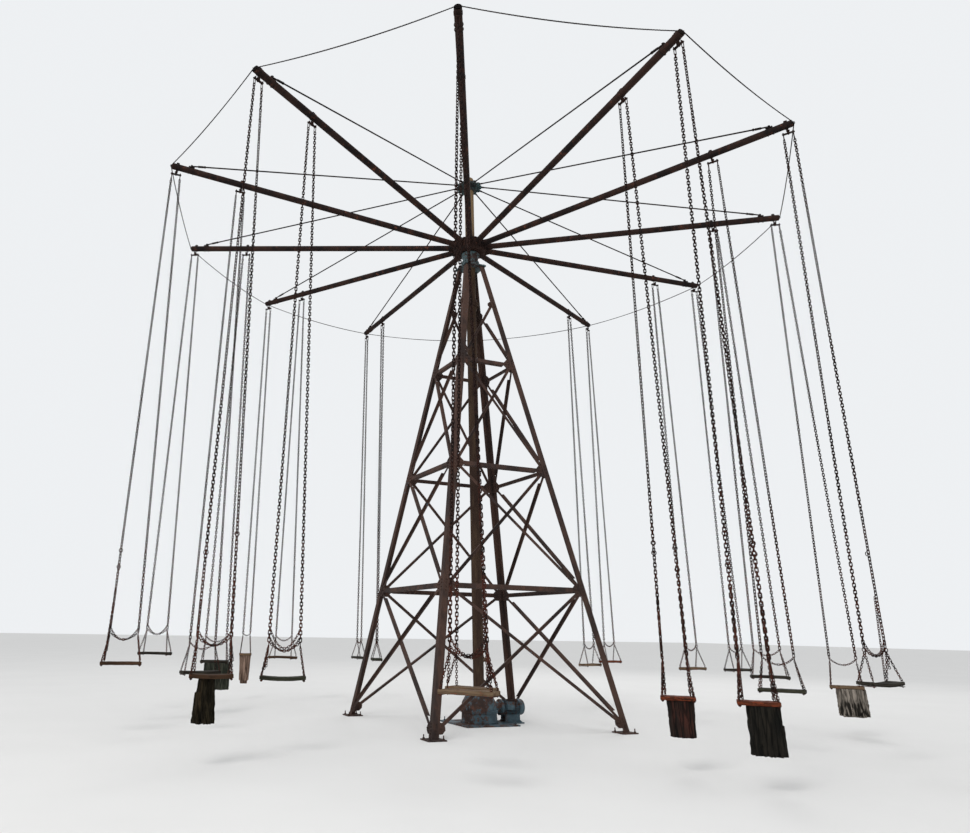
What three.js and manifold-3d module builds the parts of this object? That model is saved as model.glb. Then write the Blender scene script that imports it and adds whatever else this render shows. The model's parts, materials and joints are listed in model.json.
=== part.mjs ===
// Circle swing: a chair ride whose pipe arms turn on a lattice tower, with board seats on chains.
// Millimetres, +Z up. The origin is on the mast's axis at ground level.
// The tower's sides face +X, +Y, -X and -Y, and the arms lie every 30 degrees from +X.
import * as THREE from "three";
import { mergeVertices } from "three/addons/utils/BufferGeometryUtils.js";
import Module from "manifold-3d";

const wasm = await Module();
wasm.setup();

// Driving dimensions
const GAP = 0.3;               // clearance between pieces that touch
const ARM_COUNT = 12;
const FIRST_ARM_ANGLE = -120;  // degrees from +X, the arm nearest the viewer
const ARM_REACH = 5400;        // plan distance from the mast's axis to an arm's tip
const ARM_SLOPE = 0.055;       // rise of an arm per unit of reach
const ARM_RADIUS = 51;
const HUB_HEIGHT = 8100;       // where the arms' centre lines meet the mast
const HUB_APOTHEM = 270;
const HUB_DEPTH = 210;
const MAST_RADIUS = 84;
const MAST_TOP = 9570;
const MAST_FOOT = 420;
const COUPLING_HEIGHT = 6950;
const COLLAR_HEIGHT = 9379;
const COLLAR_RADIUS = 235;
const STAY_REACH = 5100;       // where a stay rod meets its arm
const STAY_RADIUS = 12;
const RIM_CABLE_RADIUS = 9;
const RIM_CABLE_SAG = 70;
const OUTER_HANGER = 5328;     // plan distance to the outer ring of swings
const INNER_HANGER = 4286;
const HANGER_DROP = 45;        // from an arm's underside down to the hook's pin
const SEAT_HEIGHT = 800;       // a level seat's top above ground
const SEAT_WIDTH = 520;
const SEAT_DEPTH = 220;
const SEAT_THICKNESS = 42;
const RING_ABOVE_SEAT = 350;   // where each chain splits to the seat's corners
const TOWER_HALF_BASE = 1560;  // half the tower's side at ground level
const TOWER_LEAN = 0.1797;     // how far each side leans in per unit of height
const LEG_FLANGE = 100;
const LEG_THICKNESS = 11;
const RING_LEVELS = [1973, 3841, 5713];
const TOWER_TOP = 7680;
const HOUSING_RADIUS = 165;
const HOUSING_TOP = 7965;
const SEAM = 5;                // how deep the solids of one piece run into each other

// Each swing's turn in degrees from its arm's line, and how far its seat hangs below SEAT_HEIGHT.
// The list follows the arms round from FIRST_ARM_ANGLE.
const OUTER_TURN = [72, 45, 60, -21, 8, -12, 15, -6, 48, 0, -3, -39];
const INNER_TURN = [60, 48, 5, -10, 14, -8, 10, -18, 12, 12, 8, -45];
const OUTER_DROP = [-40, 30, -70, 115, 10, -20, 0, 15, -60, -130, -85, -75];
const INNER_DROP = [0, 70, 60, 0, -15, 20, 0, 10, -40, -25, 30, -20];

// Log blocks under some seats: the arm's place in the list, the ring of swings, the seat's width,
// the log's width, depth and height, its foot's width over its head's, and its shift along the seat.
const LOGS = [
  { arm: 1, ring: "outer", seat: 370, width: 330, depth: 260, height: 430, taper: 1.04, shift: 40 },
  { arm: 1, ring: "inner", seat: 350, width: 300, depth: 220, height: 360, taper: 0.94, shift: 20 },
  { arm: 3, ring: "outer", seat: 440, width: 410, depth: 300, height: 385, taper: 1.08, shift: 45 },
  { arm: 8, ring: "outer", seat: 240, width: 250, depth: 230, height: 520, taper: 0.8, shift: 0 },
  { arm: 9, ring: "inner", seat: 440, width: 460, depth: 310, height: 410, taper: 1.02, shift: -45 },
  { arm: 11, ring: "outer", seat: 450, width: 195, depth: 180, height: 435, taper: 1.38, shift: 50 },
];

const part = new THREE.Group();

const finishes = {
  rustySteel: { color: 0x3d2a22, metalness: 0.6, roughness: 0.85 },
  rustyChain: { color: 0x3a1d16, metalness: 0.6, roughness: 0.8 },
  tealPaint: { color: 0x35524e, metalness: 0.2, roughness: 0.7 },
  log: { color: 0x2a2420, metalness: 0, roughness: 0.95 },
};

// Adds a finished solid to the part under its name.
function addPiece(name, solid, finish) {
  const mesh = new THREE.Mesh(toGeometry(solid), new THREE.MeshStandardMaterial(finishes[finish]));
  mesh.name = name;
  part.add(mesh);
}

function toSolid(geometry) {
  const plain = geometry.clone();
  plain.deleteAttribute("normal");
  plain.deleteAttribute("uv");
  const merged = mergeVertices(plain, 1e-4);
  return new wasm.Manifold(new wasm.Mesh({
    numProp: 3,
    vertProperties: new Float32Array(merged.attributes.position.array),
    triVerts: new Uint32Array(merged.index.array),
  }));
}

function toGeometry(solid) {
  const mesh = solid.getMesh();
  const geometry = new THREE.BufferGeometry();
  geometry.setAttribute("position", new THREE.BufferAttribute(mesh.vertProperties, 3));
  geometry.setIndex(new THREE.BufferAttribute(mesh.triVerts, 1));
  geometry.computeVertexNormals();
  return geometry;
}

// Joins geometries that overlap into one closed solid.
function join(geometries) {
  return geometries.map(toSolid).reduce((whole, piece) => whole.add(piece));
}

function box(sizeX, sizeY, sizeZ, x, y, z) {
  return new THREE.BoxGeometry(sizeX, sizeY, sizeZ).translate(x, y, z);
}

// A straight bar between two points: width lies level where it can, height across it.
function bar(from, to, width, height) {
  const along = new THREE.Vector3().subVectors(to, from);
  const length = along.length();
  along.normalize();
  const upward = Math.abs(along.z) > 0.99 ? new THREE.Vector3(0, 1, 0) : new THREE.Vector3(0, 0, 1);
  const side = new THREE.Vector3().crossVectors(upward, along).normalize();
  const over = new THREE.Vector3().crossVectors(along, side);
  const middle = new THREE.Vector3().addVectors(from, to).multiplyScalar(0.5);
  const place = new THREE.Matrix4().makeBasis(along, side, over).setPosition(middle);
  return new THREE.BoxGeometry(length, width, height).applyMatrix4(place);
}

// A round rod between two points.
function rod(from, to, radius, sides, endRadius = radius) {
  const along = new THREE.Vector3().subVectors(to, from);
  const turn = new THREE.Quaternion().setFromUnitVectors(
    new THREE.Vector3(0, 1, 0), along.clone().normalize());
  const middle = new THREE.Vector3().addVectors(from, to).multiplyScalar(0.5);
  return new THREE.CylinderGeometry(endRadius, radius, along.length(), sides)
    .applyQuaternion(turn).translate(middle.x, middle.y, middle.z);
}

// A solid of revolution about Z from [radius, height] points that close on themselves.
function revolve(profile, sides) {
  const points = profile.concat([profile[0]]).map(([radius, z]) => new THREE.Vector2(radius, z));
  return new THREE.LatheGeometry(points, sides).rotateX(Math.PI / 2);
}

const vec = (x, y, z) => new THREE.Vector3(x, y, z);
const degrees = THREE.MathUtils.degToRad;
const armAngle = (index) => degrees(FIRST_ARM_ANGLE + index * 360 / ARM_COUNT);
const armHeight = (reach) => HUB_HEIGHT + ARM_SLOPE * reach;
const pinHeight = (reach) => armHeight(reach) - ARM_RADIUS - HANGER_DROP;
const halfSide = (z) => TOWER_HALF_BASE - TOWER_LEAN * z;

// Turns a solid that was made along +X so that it lies along an arm.
function turnAboutMast(solid, angle) {
  return solid.rotate([0, 0, THREE.MathUtils.radToDeg(angle)]);
}

// Tower legs: an angle section at each corner, leaning in towards the housing.
const FOOT_PLATE = 16;
const FOOT_SIZE = 260;

// Leans a vertical geometry inwards as the tower's side does, along X and Y as asked.
function lean(geometry, alongX, alongY) {
  const shear = new THREE.Matrix4().set(
    1, 0, -TOWER_LEAN * alongX, 0,
    0, 1, -TOWER_LEAN * alongY, 0,
    0, 0, 1, 0,
    0, 0, 0, 1);
  return geometry.applyMatrix4(shear);
}

function makeLeg(signX, signY) {
  const height = TOWER_TOP - GAP;
  const corner = TOWER_HALF_BASE;
  const outline = new THREE.Shape([
    new THREE.Vector2(corner, corner),
    new THREE.Vector2(corner - LEG_FLANGE, corner),
    new THREE.Vector2(corner - LEG_FLANGE, corner - LEG_THICKNESS),
    new THREE.Vector2(corner - LEG_THICKNESS, corner - LEG_THICKNESS),
    new THREE.Vector2(corner - LEG_THICKNESS, corner - LEG_FLANGE),
    new THREE.Vector2(corner, corner - LEG_FLANGE),
  ]);
  const angle = lean(new THREE.ExtrudeGeometry(outline, { depth: height, bevelEnabled: false }), 1, 1);
  const middle = corner - LEG_FLANGE / 2;
  const foot = box(FOOT_SIZE, FOOT_SIZE, FOOT_PLATE, middle, middle, FOOT_PLATE / 2);
  const turn = { "1,1": 0, "-1,1": 90, "-1,-1": 180, "1,-1": 270 }[`${signX},${signY}`];
  return join([angle, foot]).rotate([0, 0, turn]);
}

const LEG_CORNERS = [[1, 1], [-1, 1], [-1, -1], [1, -1]];
LEG_CORNERS.forEach(([signX, signY], index) => {
  addPiece(`tower_leg_${index + 1}`, makeLeg(signX, signY), "rustySteel");
});

// Tower sides: ring angles and crossed flats inside the legs' flanges, joined where they meet.
const RAIL_HEIGHT = 64;
const BRACE_WIDTH = 50;
const BRACE_THICKNESS = 9;
const BRACE_FOOT = 120;
const LAST_BRACE_TOP = 6900;

function makeSide() {
  const inner = TOWER_HALF_BASE - LEG_THICKNESS - GAP;
  const plane = inner - BRACE_THICKNESS / 2;
  const reach = (z) => halfSide(z) - LEG_THICKNESS - BRACE_THICKNESS - 3 * GAP;
  const pieces = [];
  const tie = (y0, z0, y1, z1, width) => {
    const from = vec(plane, y0, z0);
    const to = vec(plane, y1, z1);
    pieces.push(bar(from, to, BRACE_THICKNESS, width));
  };
  for (const z of RING_LEVELS) {
    const end = reach(z + RAIL_HEIGHT / 2);
    tie(-end, z, end, z, RAIL_HEIGHT);
  }
  const levels = [BRACE_FOOT, ...RING_LEVELS];
  const inset = LEG_FLANGE / 2;
  levels.slice(0, -1).forEach((low, index) => {
    const high = levels[index + 1];
    const lowEnd = reach(low) - inset;
    const highEnd = reach(high) - inset;
    tie(-lowEnd, low, highEnd, high, BRACE_WIDTH);
    tie(lowEnd, low, -highEnd, high, BRACE_WIDTH);
  });
  const top = RING_LEVELS[RING_LEVELS.length - 1];
  tie(-reach(top) + inset, top, reach(LAST_BRACE_TOP) - inset, LAST_BRACE_TOP, BRACE_WIDTH);
  return join(pieces.map((piece) => lean(piece, 1, 0)));
}

const side = makeSide();
for (let index = 0; index < 4; index += 1) {
  addPiece(`tower_side_${index + 1}`, side.rotate([0, 0, 90 * index]), "rustySteel");
}

// Bearing housing: a flanged sleeve round the mast on a square plate over the legs.
const BORE_SIDES = 16;
const BORE_PLAY = 0.5;
const BORE_RADIUS = (MAST_RADIUS + BORE_PLAY) / Math.cos(Math.PI / BORE_SIDES);
const TOP_PLATE = 22;
const TOP_PLATE_SIZE = 420;
const HOUSING_STEP = 25;       // how far the flanges stand out from the sleeve
const HOUSING_RIM = 50;

function makeHousing() {
  const plateTop = TOWER_TOP + TOP_PLATE;
  const foot = HOUSING_RADIUS + HOUSING_STEP;
  const sleeve = HOUSING_RADIUS - HOUSING_STEP;
  const rim = HOUSING_TOP - HOUSING_RIM;
  const outside = join([
    box(TOP_PLATE_SIZE, TOP_PLATE_SIZE, TOP_PLATE, 0, 0, TOWER_TOP + TOP_PLATE / 2),
    revolve([
      [0, plateTop - SEAM], [foot, plateTop - SEAM], [foot, plateTop + HOUSING_STEP],
      [sleeve, plateTop + 2 * HOUSING_STEP], [sleeve, rim - HOUSING_STEP], [HOUSING_RADIUS, rim],
      [HOUSING_RADIUS, HOUSING_TOP], [0, HOUSING_TOP],
    ], BORE_SIDES),
  ]);
  // The bore's flats face the mast's corners at rest, which keeps the running clearance small.
  const bore = rod(vec(0, 0, TOWER_TOP - SEAM), vec(0, 0, HOUSING_TOP + SEAM), BORE_RADIUS, BORE_SIDES);
  return outside.subtract(toSolid(bore.rotateZ(Math.PI / BORE_SIDES)));
}
addPiece("bearing_housing", makeHousing(), "tealPaint");

// Drive base: a round gear housing on a square plate, with the motor lying beside it.
const BASE_PLATE = 20;
const BASE_SIZE = 900;
const GEAR_RADIUS = 290;
const GEAR_SHOULDER = 330;
const GEAR_NECK_RADIUS = 180;
const MOTOR_RADIUS = 120;
const MOTOR_HEIGHT = 230;
const MOTOR_START = 230;
const MOTOR_END = 760;
const PEDESTAL = { length: 300, width: 160, middle: 550 };
const SKID = { length: 320, width: 300 };

function makeDriveBase() {
  const motorTo = (x) => vec(x, 0, MOTOR_HEIGHT);
  const pedestalLow = BASE_PLATE - SEAM;
  return join([
    box(BASE_SIZE, BASE_SIZE, BASE_PLATE, 0, 0, BASE_PLATE / 2),
    revolve([
      [0, pedestalLow], [GEAR_RADIUS, pedestalLow], [GEAR_RADIUS, GEAR_SHOULDER],
      [GEAR_NECK_RADIUS, MAST_FOOT - GAP], [0, MAST_FOOT - GAP],
    ], BORE_SIDES),
    rod(motorTo(MOTOR_START), motorTo(MOTOR_END), MOTOR_RADIUS, 12),
    box(PEDESTAL.length, PEDESTAL.width, MOTOR_HEIGHT - pedestalLow,
      PEDESTAL.middle, 0, (MOTOR_HEIGHT + pedestalLow) / 2),
    box(SKID.length, SKID.width, BASE_PLATE, PEDESTAL.middle, 0, BASE_PLATE / 2),
  ]);
}
addPiece("drive_base", makeDriveBase(), "tealPaint");

// Mast: one turned column from the drive to above the collar, with a bolted coupling.
const COUPLING_RADIUS = 130;
const COUPLING_HALF = 35;
const FOOT_FLANGE_RADIUS = 144;
const FOOT_FLANGE_TOP = 445;
addPiece("mast", toSolid(revolve([
  [0, MAST_FOOT], [FOOT_FLANGE_RADIUS, MAST_FOOT], [FOOT_FLANGE_RADIUS, FOOT_FLANGE_TOP],
  [MAST_RADIUS, FOOT_FLANGE_TOP], [MAST_RADIUS, COUPLING_HEIGHT - COUPLING_HALF],
  [COUPLING_RADIUS, COUPLING_HEIGHT - COUPLING_HALF], [COUPLING_RADIUS, COUPLING_HEIGHT + COUPLING_HALF],
  [MAST_RADIUS, COUPLING_HEIGHT + COUPLING_HALF], [MAST_RADIUS, MAST_TOP], [0, MAST_TOP],
], BORE_SIDES)), "rustySteel");

// A hole that clears the mast by the touching gap on every facet.
function mastHole(low, high) {
  return toSolid(rod(vec(0, 0, low), vec(0, 0, high), MAST_RADIUS + GAP, BORE_SIDES));
}

// Hub: a twelve-sided drum that the arms bolt to.
function makeHub() {
  const radius = HUB_APOTHEM / Math.cos(Math.PI / ARM_COUNT);
  const low = vec(0, 0, HUB_HEIGHT - HUB_DEPTH / 2);
  const high = vec(0, 0, HUB_HEIGHT + HUB_DEPTH / 2);
  const drum = toSolid(rod(low, high, radius, ARM_COUNT)).rotate([0, 0, 180 / ARM_COUNT]);
  return drum.subtract(mastHole(low.z - SEAM, high.z + SEAM));
}
addPiece("hub", makeHub(), "rustySteel");

// Arms: a pipe with a root flange and two open hooks under it.
const FLANGE_THICKNESS = 14;
const FLANGE_WIDTH = 136;
const FLANGE_HEIGHT = 190;
const HOOK_THICKNESS = 14;
const PIN_RADIUS = 9;
const HOOK_WALL = 13;
const HOOK_CORNER = 0.55;      // where the cup's corners are cut, as a share of its half-width
const PIPE_SIDES = 12;

// An open hook seen along the arm's side: a shank down from the pipe and a cup under the pin.
function makeHook(reach) {
  const pin = pinHeight(reach);
  const seat = PIN_RADIUS + 2 * GAP;
  const outer = seat + HOOK_WALL;
  const cut = outer * HOOK_CORNER;
  const top = HANGER_DROP + ARM_RADIUS / 2;
  const outline = new THREE.Shape();
  outline.moveTo(-outer, top);
  outline.lineTo(-outer, -cut);
  outline.lineTo(-cut, -outer);
  outline.lineTo(cut, -outer);
  outline.lineTo(outer, -cut);
  outline.lineTo(outer, seat);
  outline.lineTo(seat, seat);
  outline.absarc(0, 0, seat, 0, -Math.PI, true);
  outline.lineTo(-seat, top);
  const plate = new THREE.ExtrudeGeometry(outline, {
    depth: HOOK_THICKNESS, bevelEnabled: false, curveSegments: 4,
  });
  return plate.translate(0, 0, -HOOK_THICKNESS / 2).rotateX(Math.PI / 2).translate(reach, 0, pin);
}

function makeArm() {
  const root = HUB_APOTHEM + GAP;
  const flangeAt = root + FLANGE_THICKNESS / 2;
  const flange = box(FLANGE_THICKNESS, FLANGE_WIDTH, FLANGE_HEIGHT, flangeAt, 0, HUB_HEIGHT);
  const spread = 1 / Math.cos(Math.PI / PIPE_SIDES);
  const pipe = new THREE.CylinderGeometry(
    ARM_RADIUS * spread, ARM_RADIUS * spread, ARM_REACH - flangeAt, PIPE_SIDES);
  pipe.rotateY(Math.PI / PIPE_SIDES).rotateZ(-Math.PI / 2).translate((ARM_REACH + flangeAt) / 2, 0, 0);
  const rise = new THREE.Matrix4().set(
    1, 0, 0, 0,
    0, 1, 0, 0,
    ARM_SLOPE, 0, 1, HUB_HEIGHT,
    0, 0, 0, 1);
  pipe.applyMatrix4(rise);
  return join([pipe, flange, makeHook(OUTER_HANGER), makeHook(INNER_HANGER)]);
}

const arm = makeArm();
for (let index = 0; index < ARM_COUNT; index += 1) {
  addPiece(`arm_${index + 1}`, turnAboutMast(arm, armAngle(index)), "rustySteel");
}

// Top collar with its stay rods: a lugged disc on the mast, and a rod down to each arm.
const SHOE = { length: 96, width: 44, height: 60 };
const ROD_ABOVE_SHOE_FOOT = 36;
const ROD_LAP = 40;            // how far a rod runs into the collar
const COLLAR_HALF = 28;
const BARREL_RADIUS = 118;
const BARREL_HALF = 90;

function makeStay() {
  const topOfArm = (reach) => armHeight(reach) + ARM_RADIUS + GAP;
  const shoe = box(SHOE.length, SHOE.width, SHOE.height, STAY_REACH, 0, SHOE.height / 2);
  const shear = new THREE.Matrix4().set(
    1, 0, 0, 0,
    0, 1, 0, 0,
    ARM_SLOPE, 0, 1, topOfArm(0),
    0, 0, 0, 1);
  const from = vec(COLLAR_RADIUS - ROD_LAP, 0, COLLAR_HEIGHT);
  const to = vec(STAY_REACH, 0, topOfArm(STAY_REACH) + ROD_ABOVE_SHOE_FOOT);
  return join([rod(from, to, STAY_RADIUS, 6), shoe.applyMatrix4(shear)]);
}

function makeCollar() {
  const disc = (half, radius, sides) =>
    rod(vec(0, 0, COLLAR_HEIGHT - half), vec(0, 0, COLLAR_HEIGHT + half), radius, sides);
  const hole = mastHole(COLLAR_HEIGHT - BARREL_HALF - SEAM, COLLAR_HEIGHT + BARREL_HALF + SEAM);
  let collar = join([
    disc(COLLAR_HALF, COLLAR_RADIUS, 24),
    disc(BARREL_HALF, BARREL_RADIUS, BORE_SIDES),
  ]).subtract(hole);
  const stay = makeStay();
  for (let index = 0; index < ARM_COUNT; index += 1) {
    collar = collar.add(turnAboutMast(stay, armAngle(index)));
  }
  return collar;
}
addPiece("collar_and_stays", makeCollar(), "rustySteel");

// Rim cable: a rope past the arms' tips that sags between them. It starts as a ring with a
// station at each tip and one halfway, and the halfway stations move in to the chord and down.
function makeRimCable() {
  const halfTurn = Math.PI / ARM_COUNT;
  const clear = RIM_CABLE_RADIUS + 2 * GAP + ARM_RADIUS * Math.sin(halfTurn);
  const reach = ARM_REACH + clear / Math.cos(halfTurn);
  const ring = new THREE.TorusGeometry(reach, RIM_CABLE_RADIUS, 6, 2 * ARM_COUNT);
  const points = ring.attributes.position;
  for (let index = 0; index < points.count; index += 1) {
    const point = new THREE.Vector3().fromBufferAttribute(points, index);
    const station = Math.round(Math.atan2(point.y, point.x) / halfTurn);
    if (station % 2 !== 0) {
      const inward = reach * (1 - Math.cos(halfTurn));
      point.x -= inward * Math.cos(station * halfTurn);
      point.y -= inward * Math.sin(station * halfTurn);
      point.z -= RIM_CABLE_SAG;
    }
    points.setXYZ(index, point.x, point.y, point.z + armHeight(ARM_REACH));
  }
  return toSolid(ring);
}
addPiece("rim_cable", makeRimCable(), "rustySteel");

// Swings: a pinned hanger, two chains that split above the seat, a board, and a safety chain.
const HANGER_HALF = 65;        // half the distance between a swing's two chains at the top
const CHEEK = { thickness: 9, width: 26, play: 5.5 };
const SPREADER_DROP = 40;
const SPREADER_THICKNESS = 16;
const SPREADER_END = 17;       // how far the spreader runs past each chain
const CHAIN_SIZE = 28;
const LOWER_CHAIN_SIZE = 18;
const SPLIT_HALF = 180;        // half the distance between the chains where they split
const SPLIT_INSET = 50;        // least distance from a chain's split to the end of its seat
const CORNER_INSET = 22;
const SAFETY_RISE = 20;        // where the safety chain starts, above the split
const SAFETY_LOW = 70;         // and its lowest point, below the split

function makeHanger() {
  const cheekAt = HOOK_THICKNESS / 2 + CHEEK.play + CHEEK.thickness / 2;
  const pinEnd = cheekAt + CHEEK.thickness / 2;
  const top = CHEEK.width / 2;
  const cheek = (side) => box(CHEEK.width, CHEEK.thickness, SPREADER_DROP + top,
    0, side * cheekAt, (top - SPREADER_DROP) / 2);
  return [
    rod(vec(0, -pinEnd, 0), vec(0, pinEnd, 0), PIN_RADIUS, 8),
    cheek(-1),
    cheek(1),
    box(2 * (HANGER_HALF + SPREADER_END), 2 * pinEnd, SPREADER_THICKNESS, 0, 0, -SPREADER_DROP),
  ];
}

function makeSwing(reach, turn, drop, seatWidth) {
  const top = pinHeight(reach);
  const board = SEAT_HEIGHT - drop - top;
  const split = board + RING_ABOVE_SEAT;
  const splitHalf = Math.min(SPLIT_HALF, seatWidth / 2 - SPLIT_INSET);
  const cornerAlong = seatWidth / 2 - CORNER_INSET;
  const cornerAcross = SEAT_DEPTH / 2 - CORNER_INSET;
  const at = (along, across, z) => vec(along, across, z).applyAxisAngle(vec(0, 0, 1), turn);
  const pieces = makeHanger();
  for (const end of [-1, 1]) {
    const ring = at(end * splitHalf, 0, split);
    pieces.push(bar(vec(end * HANGER_HALF, 0, -SPREADER_DROP), ring, CHAIN_SIZE, CHAIN_SIZE));
    const start = at(end * splitHalf, 0, split + LOWER_CHAIN_SIZE);
    for (const edge of [-1, 1]) {
      const corner = at(end * cornerAlong, edge * cornerAcross, board - SEAT_THICKNESS / 2);
      pieces.push(bar(start, corner, LOWER_CHAIN_SIZE, LOWER_CHAIN_SIZE));
    }
    const high = at(end * splitHalf, 0, split + SAFETY_RISE);
    const low = at(-end * SEAM, 0, split - SAFETY_LOW);
    pieces.push(bar(high, low, LOWER_CHAIN_SIZE, LOWER_CHAIN_SIZE));
  }
  pieces.push(new THREE.BoxGeometry(seatWidth, SEAT_DEPTH, SEAT_THICKNESS)
    .rotateZ(turn).translate(0, 0, board - SEAT_THICKNESS / 2));
  return join(pieces).translate([reach, 0, top]);
}

function makeLog(log, reach, turn, drop) {
  const upper = SEAT_HEIGHT - drop - SEAT_THICKNESS - GAP;
  const trunk = new THREE.CylinderGeometry(0.5, log.taper / 2, log.height, 10).rotateX(Math.PI / 2);
  trunk.scale(log.width, log.depth, 1).translate(log.shift, 0, upper - log.height / 2);
  return toSolid(trunk.rotateZ(turn).translate(reach, 0, 0));
}

const RINGS = {
  outer: { reach: OUTER_HANGER, turns: OUTER_TURN, drops: OUTER_DROP },
  inner: { reach: INNER_HANGER, turns: INNER_TURN, drops: INNER_DROP },
};
for (const [ringName, ring] of Object.entries(RINGS)) {
  for (let index = 0; index < ARM_COUNT; index += 1) {
    const turn = degrees(ring.turns[index]);
    const drop = ring.drops[index];
    const log = LOGS.find((item) => item.ring === ringName && item.arm === index);
    const swing = makeSwing(ring.reach, turn, drop, log ? log.seat : SEAT_WIDTH);
    addPiece(`${ringName}_swing_${index + 1}`, turnAboutMast(swing, armAngle(index)), "rustyChain");
    if (log) {
      const trunk = makeLog(log, ring.reach, turn, drop);
      addPiece(`${ringName}_log_${index + 1}`, turnAboutMast(trunk, armAngle(index)), "log");
    }
  }
}

export default part;
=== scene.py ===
# %% [markdown]
# A circle swing is a fairground ride: twelve pipe arms turn on a lattice tower, and board seats
# hang from them on long chains. This one has stood unused for years, so nearly every surface is
# rust over old paint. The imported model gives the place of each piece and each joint, and this
# lesson builds the finish and the fine shapes round it.

import json
import math
import random

import bmesh
import bpy
from mathutils import Matrix, Vector, noise


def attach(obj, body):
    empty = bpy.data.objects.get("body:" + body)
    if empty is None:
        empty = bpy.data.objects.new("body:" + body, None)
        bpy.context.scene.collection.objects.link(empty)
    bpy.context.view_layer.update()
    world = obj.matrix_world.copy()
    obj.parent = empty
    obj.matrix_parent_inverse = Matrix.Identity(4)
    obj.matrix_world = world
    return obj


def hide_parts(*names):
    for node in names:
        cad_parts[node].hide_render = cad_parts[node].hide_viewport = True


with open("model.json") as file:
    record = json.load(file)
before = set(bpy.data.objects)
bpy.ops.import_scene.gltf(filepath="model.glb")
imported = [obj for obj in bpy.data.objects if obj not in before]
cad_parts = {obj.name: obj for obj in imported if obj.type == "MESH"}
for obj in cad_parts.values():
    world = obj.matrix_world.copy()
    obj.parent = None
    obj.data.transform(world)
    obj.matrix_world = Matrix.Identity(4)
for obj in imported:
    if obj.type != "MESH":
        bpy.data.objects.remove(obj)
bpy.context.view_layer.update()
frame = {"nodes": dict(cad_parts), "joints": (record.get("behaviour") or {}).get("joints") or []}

# %% [markdown]
# The camera comes first. It stands low, about seven metres outside the ring of arm tips, and looks
# up. The optical axis lies left of the picture's middle, as it does when a picture is cropped, and
# a shifted lens gives that crop without turning the camera.

# %% Camera
IMAGE_WIDTH, IMAGE_HEIGHT = 970, 833
FOCAL_PIXELS = 755.6
AXIS_PIXEL = 381.0, 395.0          # where the optical axis meets the picture
EYE = Vector((-6.124, -11.025, 1.334))
HEADING = math.radians(68.222)     # from +X, in plan
PITCH, ROLL = 0.3021, 0.0184       # radians
SENSOR_WIDTH = 36                  # mm
FAR_CLIP = 300


def make_camera():
    ahead = Vector((math.cos(HEADING), math.sin(HEADING), 0))
    right = Vector((math.sin(HEADING), -math.cos(HEADING), 0))
    above = Vector((0, 0, 1))
    view = ahead * math.cos(PITCH) + above * math.sin(PITCH)
    up = above * math.cos(PITCH) - ahead * math.sin(PITCH)
    right_rolled = right * math.cos(ROLL) + up * math.sin(ROLL)
    up_rolled = up * math.cos(ROLL) - right * math.sin(ROLL)
    lens = bpy.data.cameras.new("camera")
    lens.sensor_width = SENSOR_WIDTH
    lens.lens = FOCAL_PIXELS / IMAGE_WIDTH * lens.sensor_width
    lens.shift_x = (IMAGE_WIDTH / 2 - AXIS_PIXEL[0]) / IMAGE_WIDTH
    lens.shift_y = (AXIS_PIXEL[1] - IMAGE_HEIGHT / 2) / IMAGE_WIDTH
    lens.clip_end = FAR_CLIP
    camera = bpy.data.objects.new("camera", lens)
    turn = Matrix((right_rolled, up_rolled, -view)).transposed()
    camera.matrix_world = Matrix.Translation(EYE) @ turn.to_4x4()
    bpy.context.collection.objects.link(camera)
    bpy.context.scene.camera = camera
    return camera


camera = make_camera()
print("lens", round(camera.data.lens, 2), "mm")
print("shift", round(camera.data.shift_x, 4), round(camera.data.shift_y, 4))

# %% [markdown]
# Shader maths reads best as plain sums. This small class wraps a socket, so that an expression
# such as 1 - mask * 0.5 adds its own Math nodes.


# %% Sums on sockets
class Value:
    """A number from a node, for sums."""

    def __init__(self, recipe, socket):
        self.recipe = recipe
        self.socket = socket

    def _sum(self, operation, first, second):
        return self.recipe.node("ShaderNodeMath", {"operation": operation}, {0: first, 1: second})

    def __add__(self, other):
        return self._sum("ADD", self, other)

    def __radd__(self, other):
        return self._sum("ADD", other, self)

    def __sub__(self, other):
        return self._sum("SUBTRACT", self, other)

    def __rsub__(self, other):
        return self._sum("SUBTRACT", other, self)

    def __mul__(self, other):
        return self._sum("MULTIPLY", self, other)

    def __rmul__(self, other):
        return self._sum("MULTIPLY", other, self)


print("sums ready")

# %% [markdown]
# A recipe is one material in the making. Its method node adds any kind of node with its settings
# and inputs, and the short methods after it name what the finishes here are made of: a place to
# read a pattern at, noise, cells, a smooth step and a blend of two colours.


# %% Recipes
MIX_FIRST, MIX_SECOND, MIX_RESULT = 6, 7, 2    # the Mix node's colour sockets
DULL, PAINTED = 0.10, 0.30                     # specular levels of a bare and a painted surface


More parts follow.
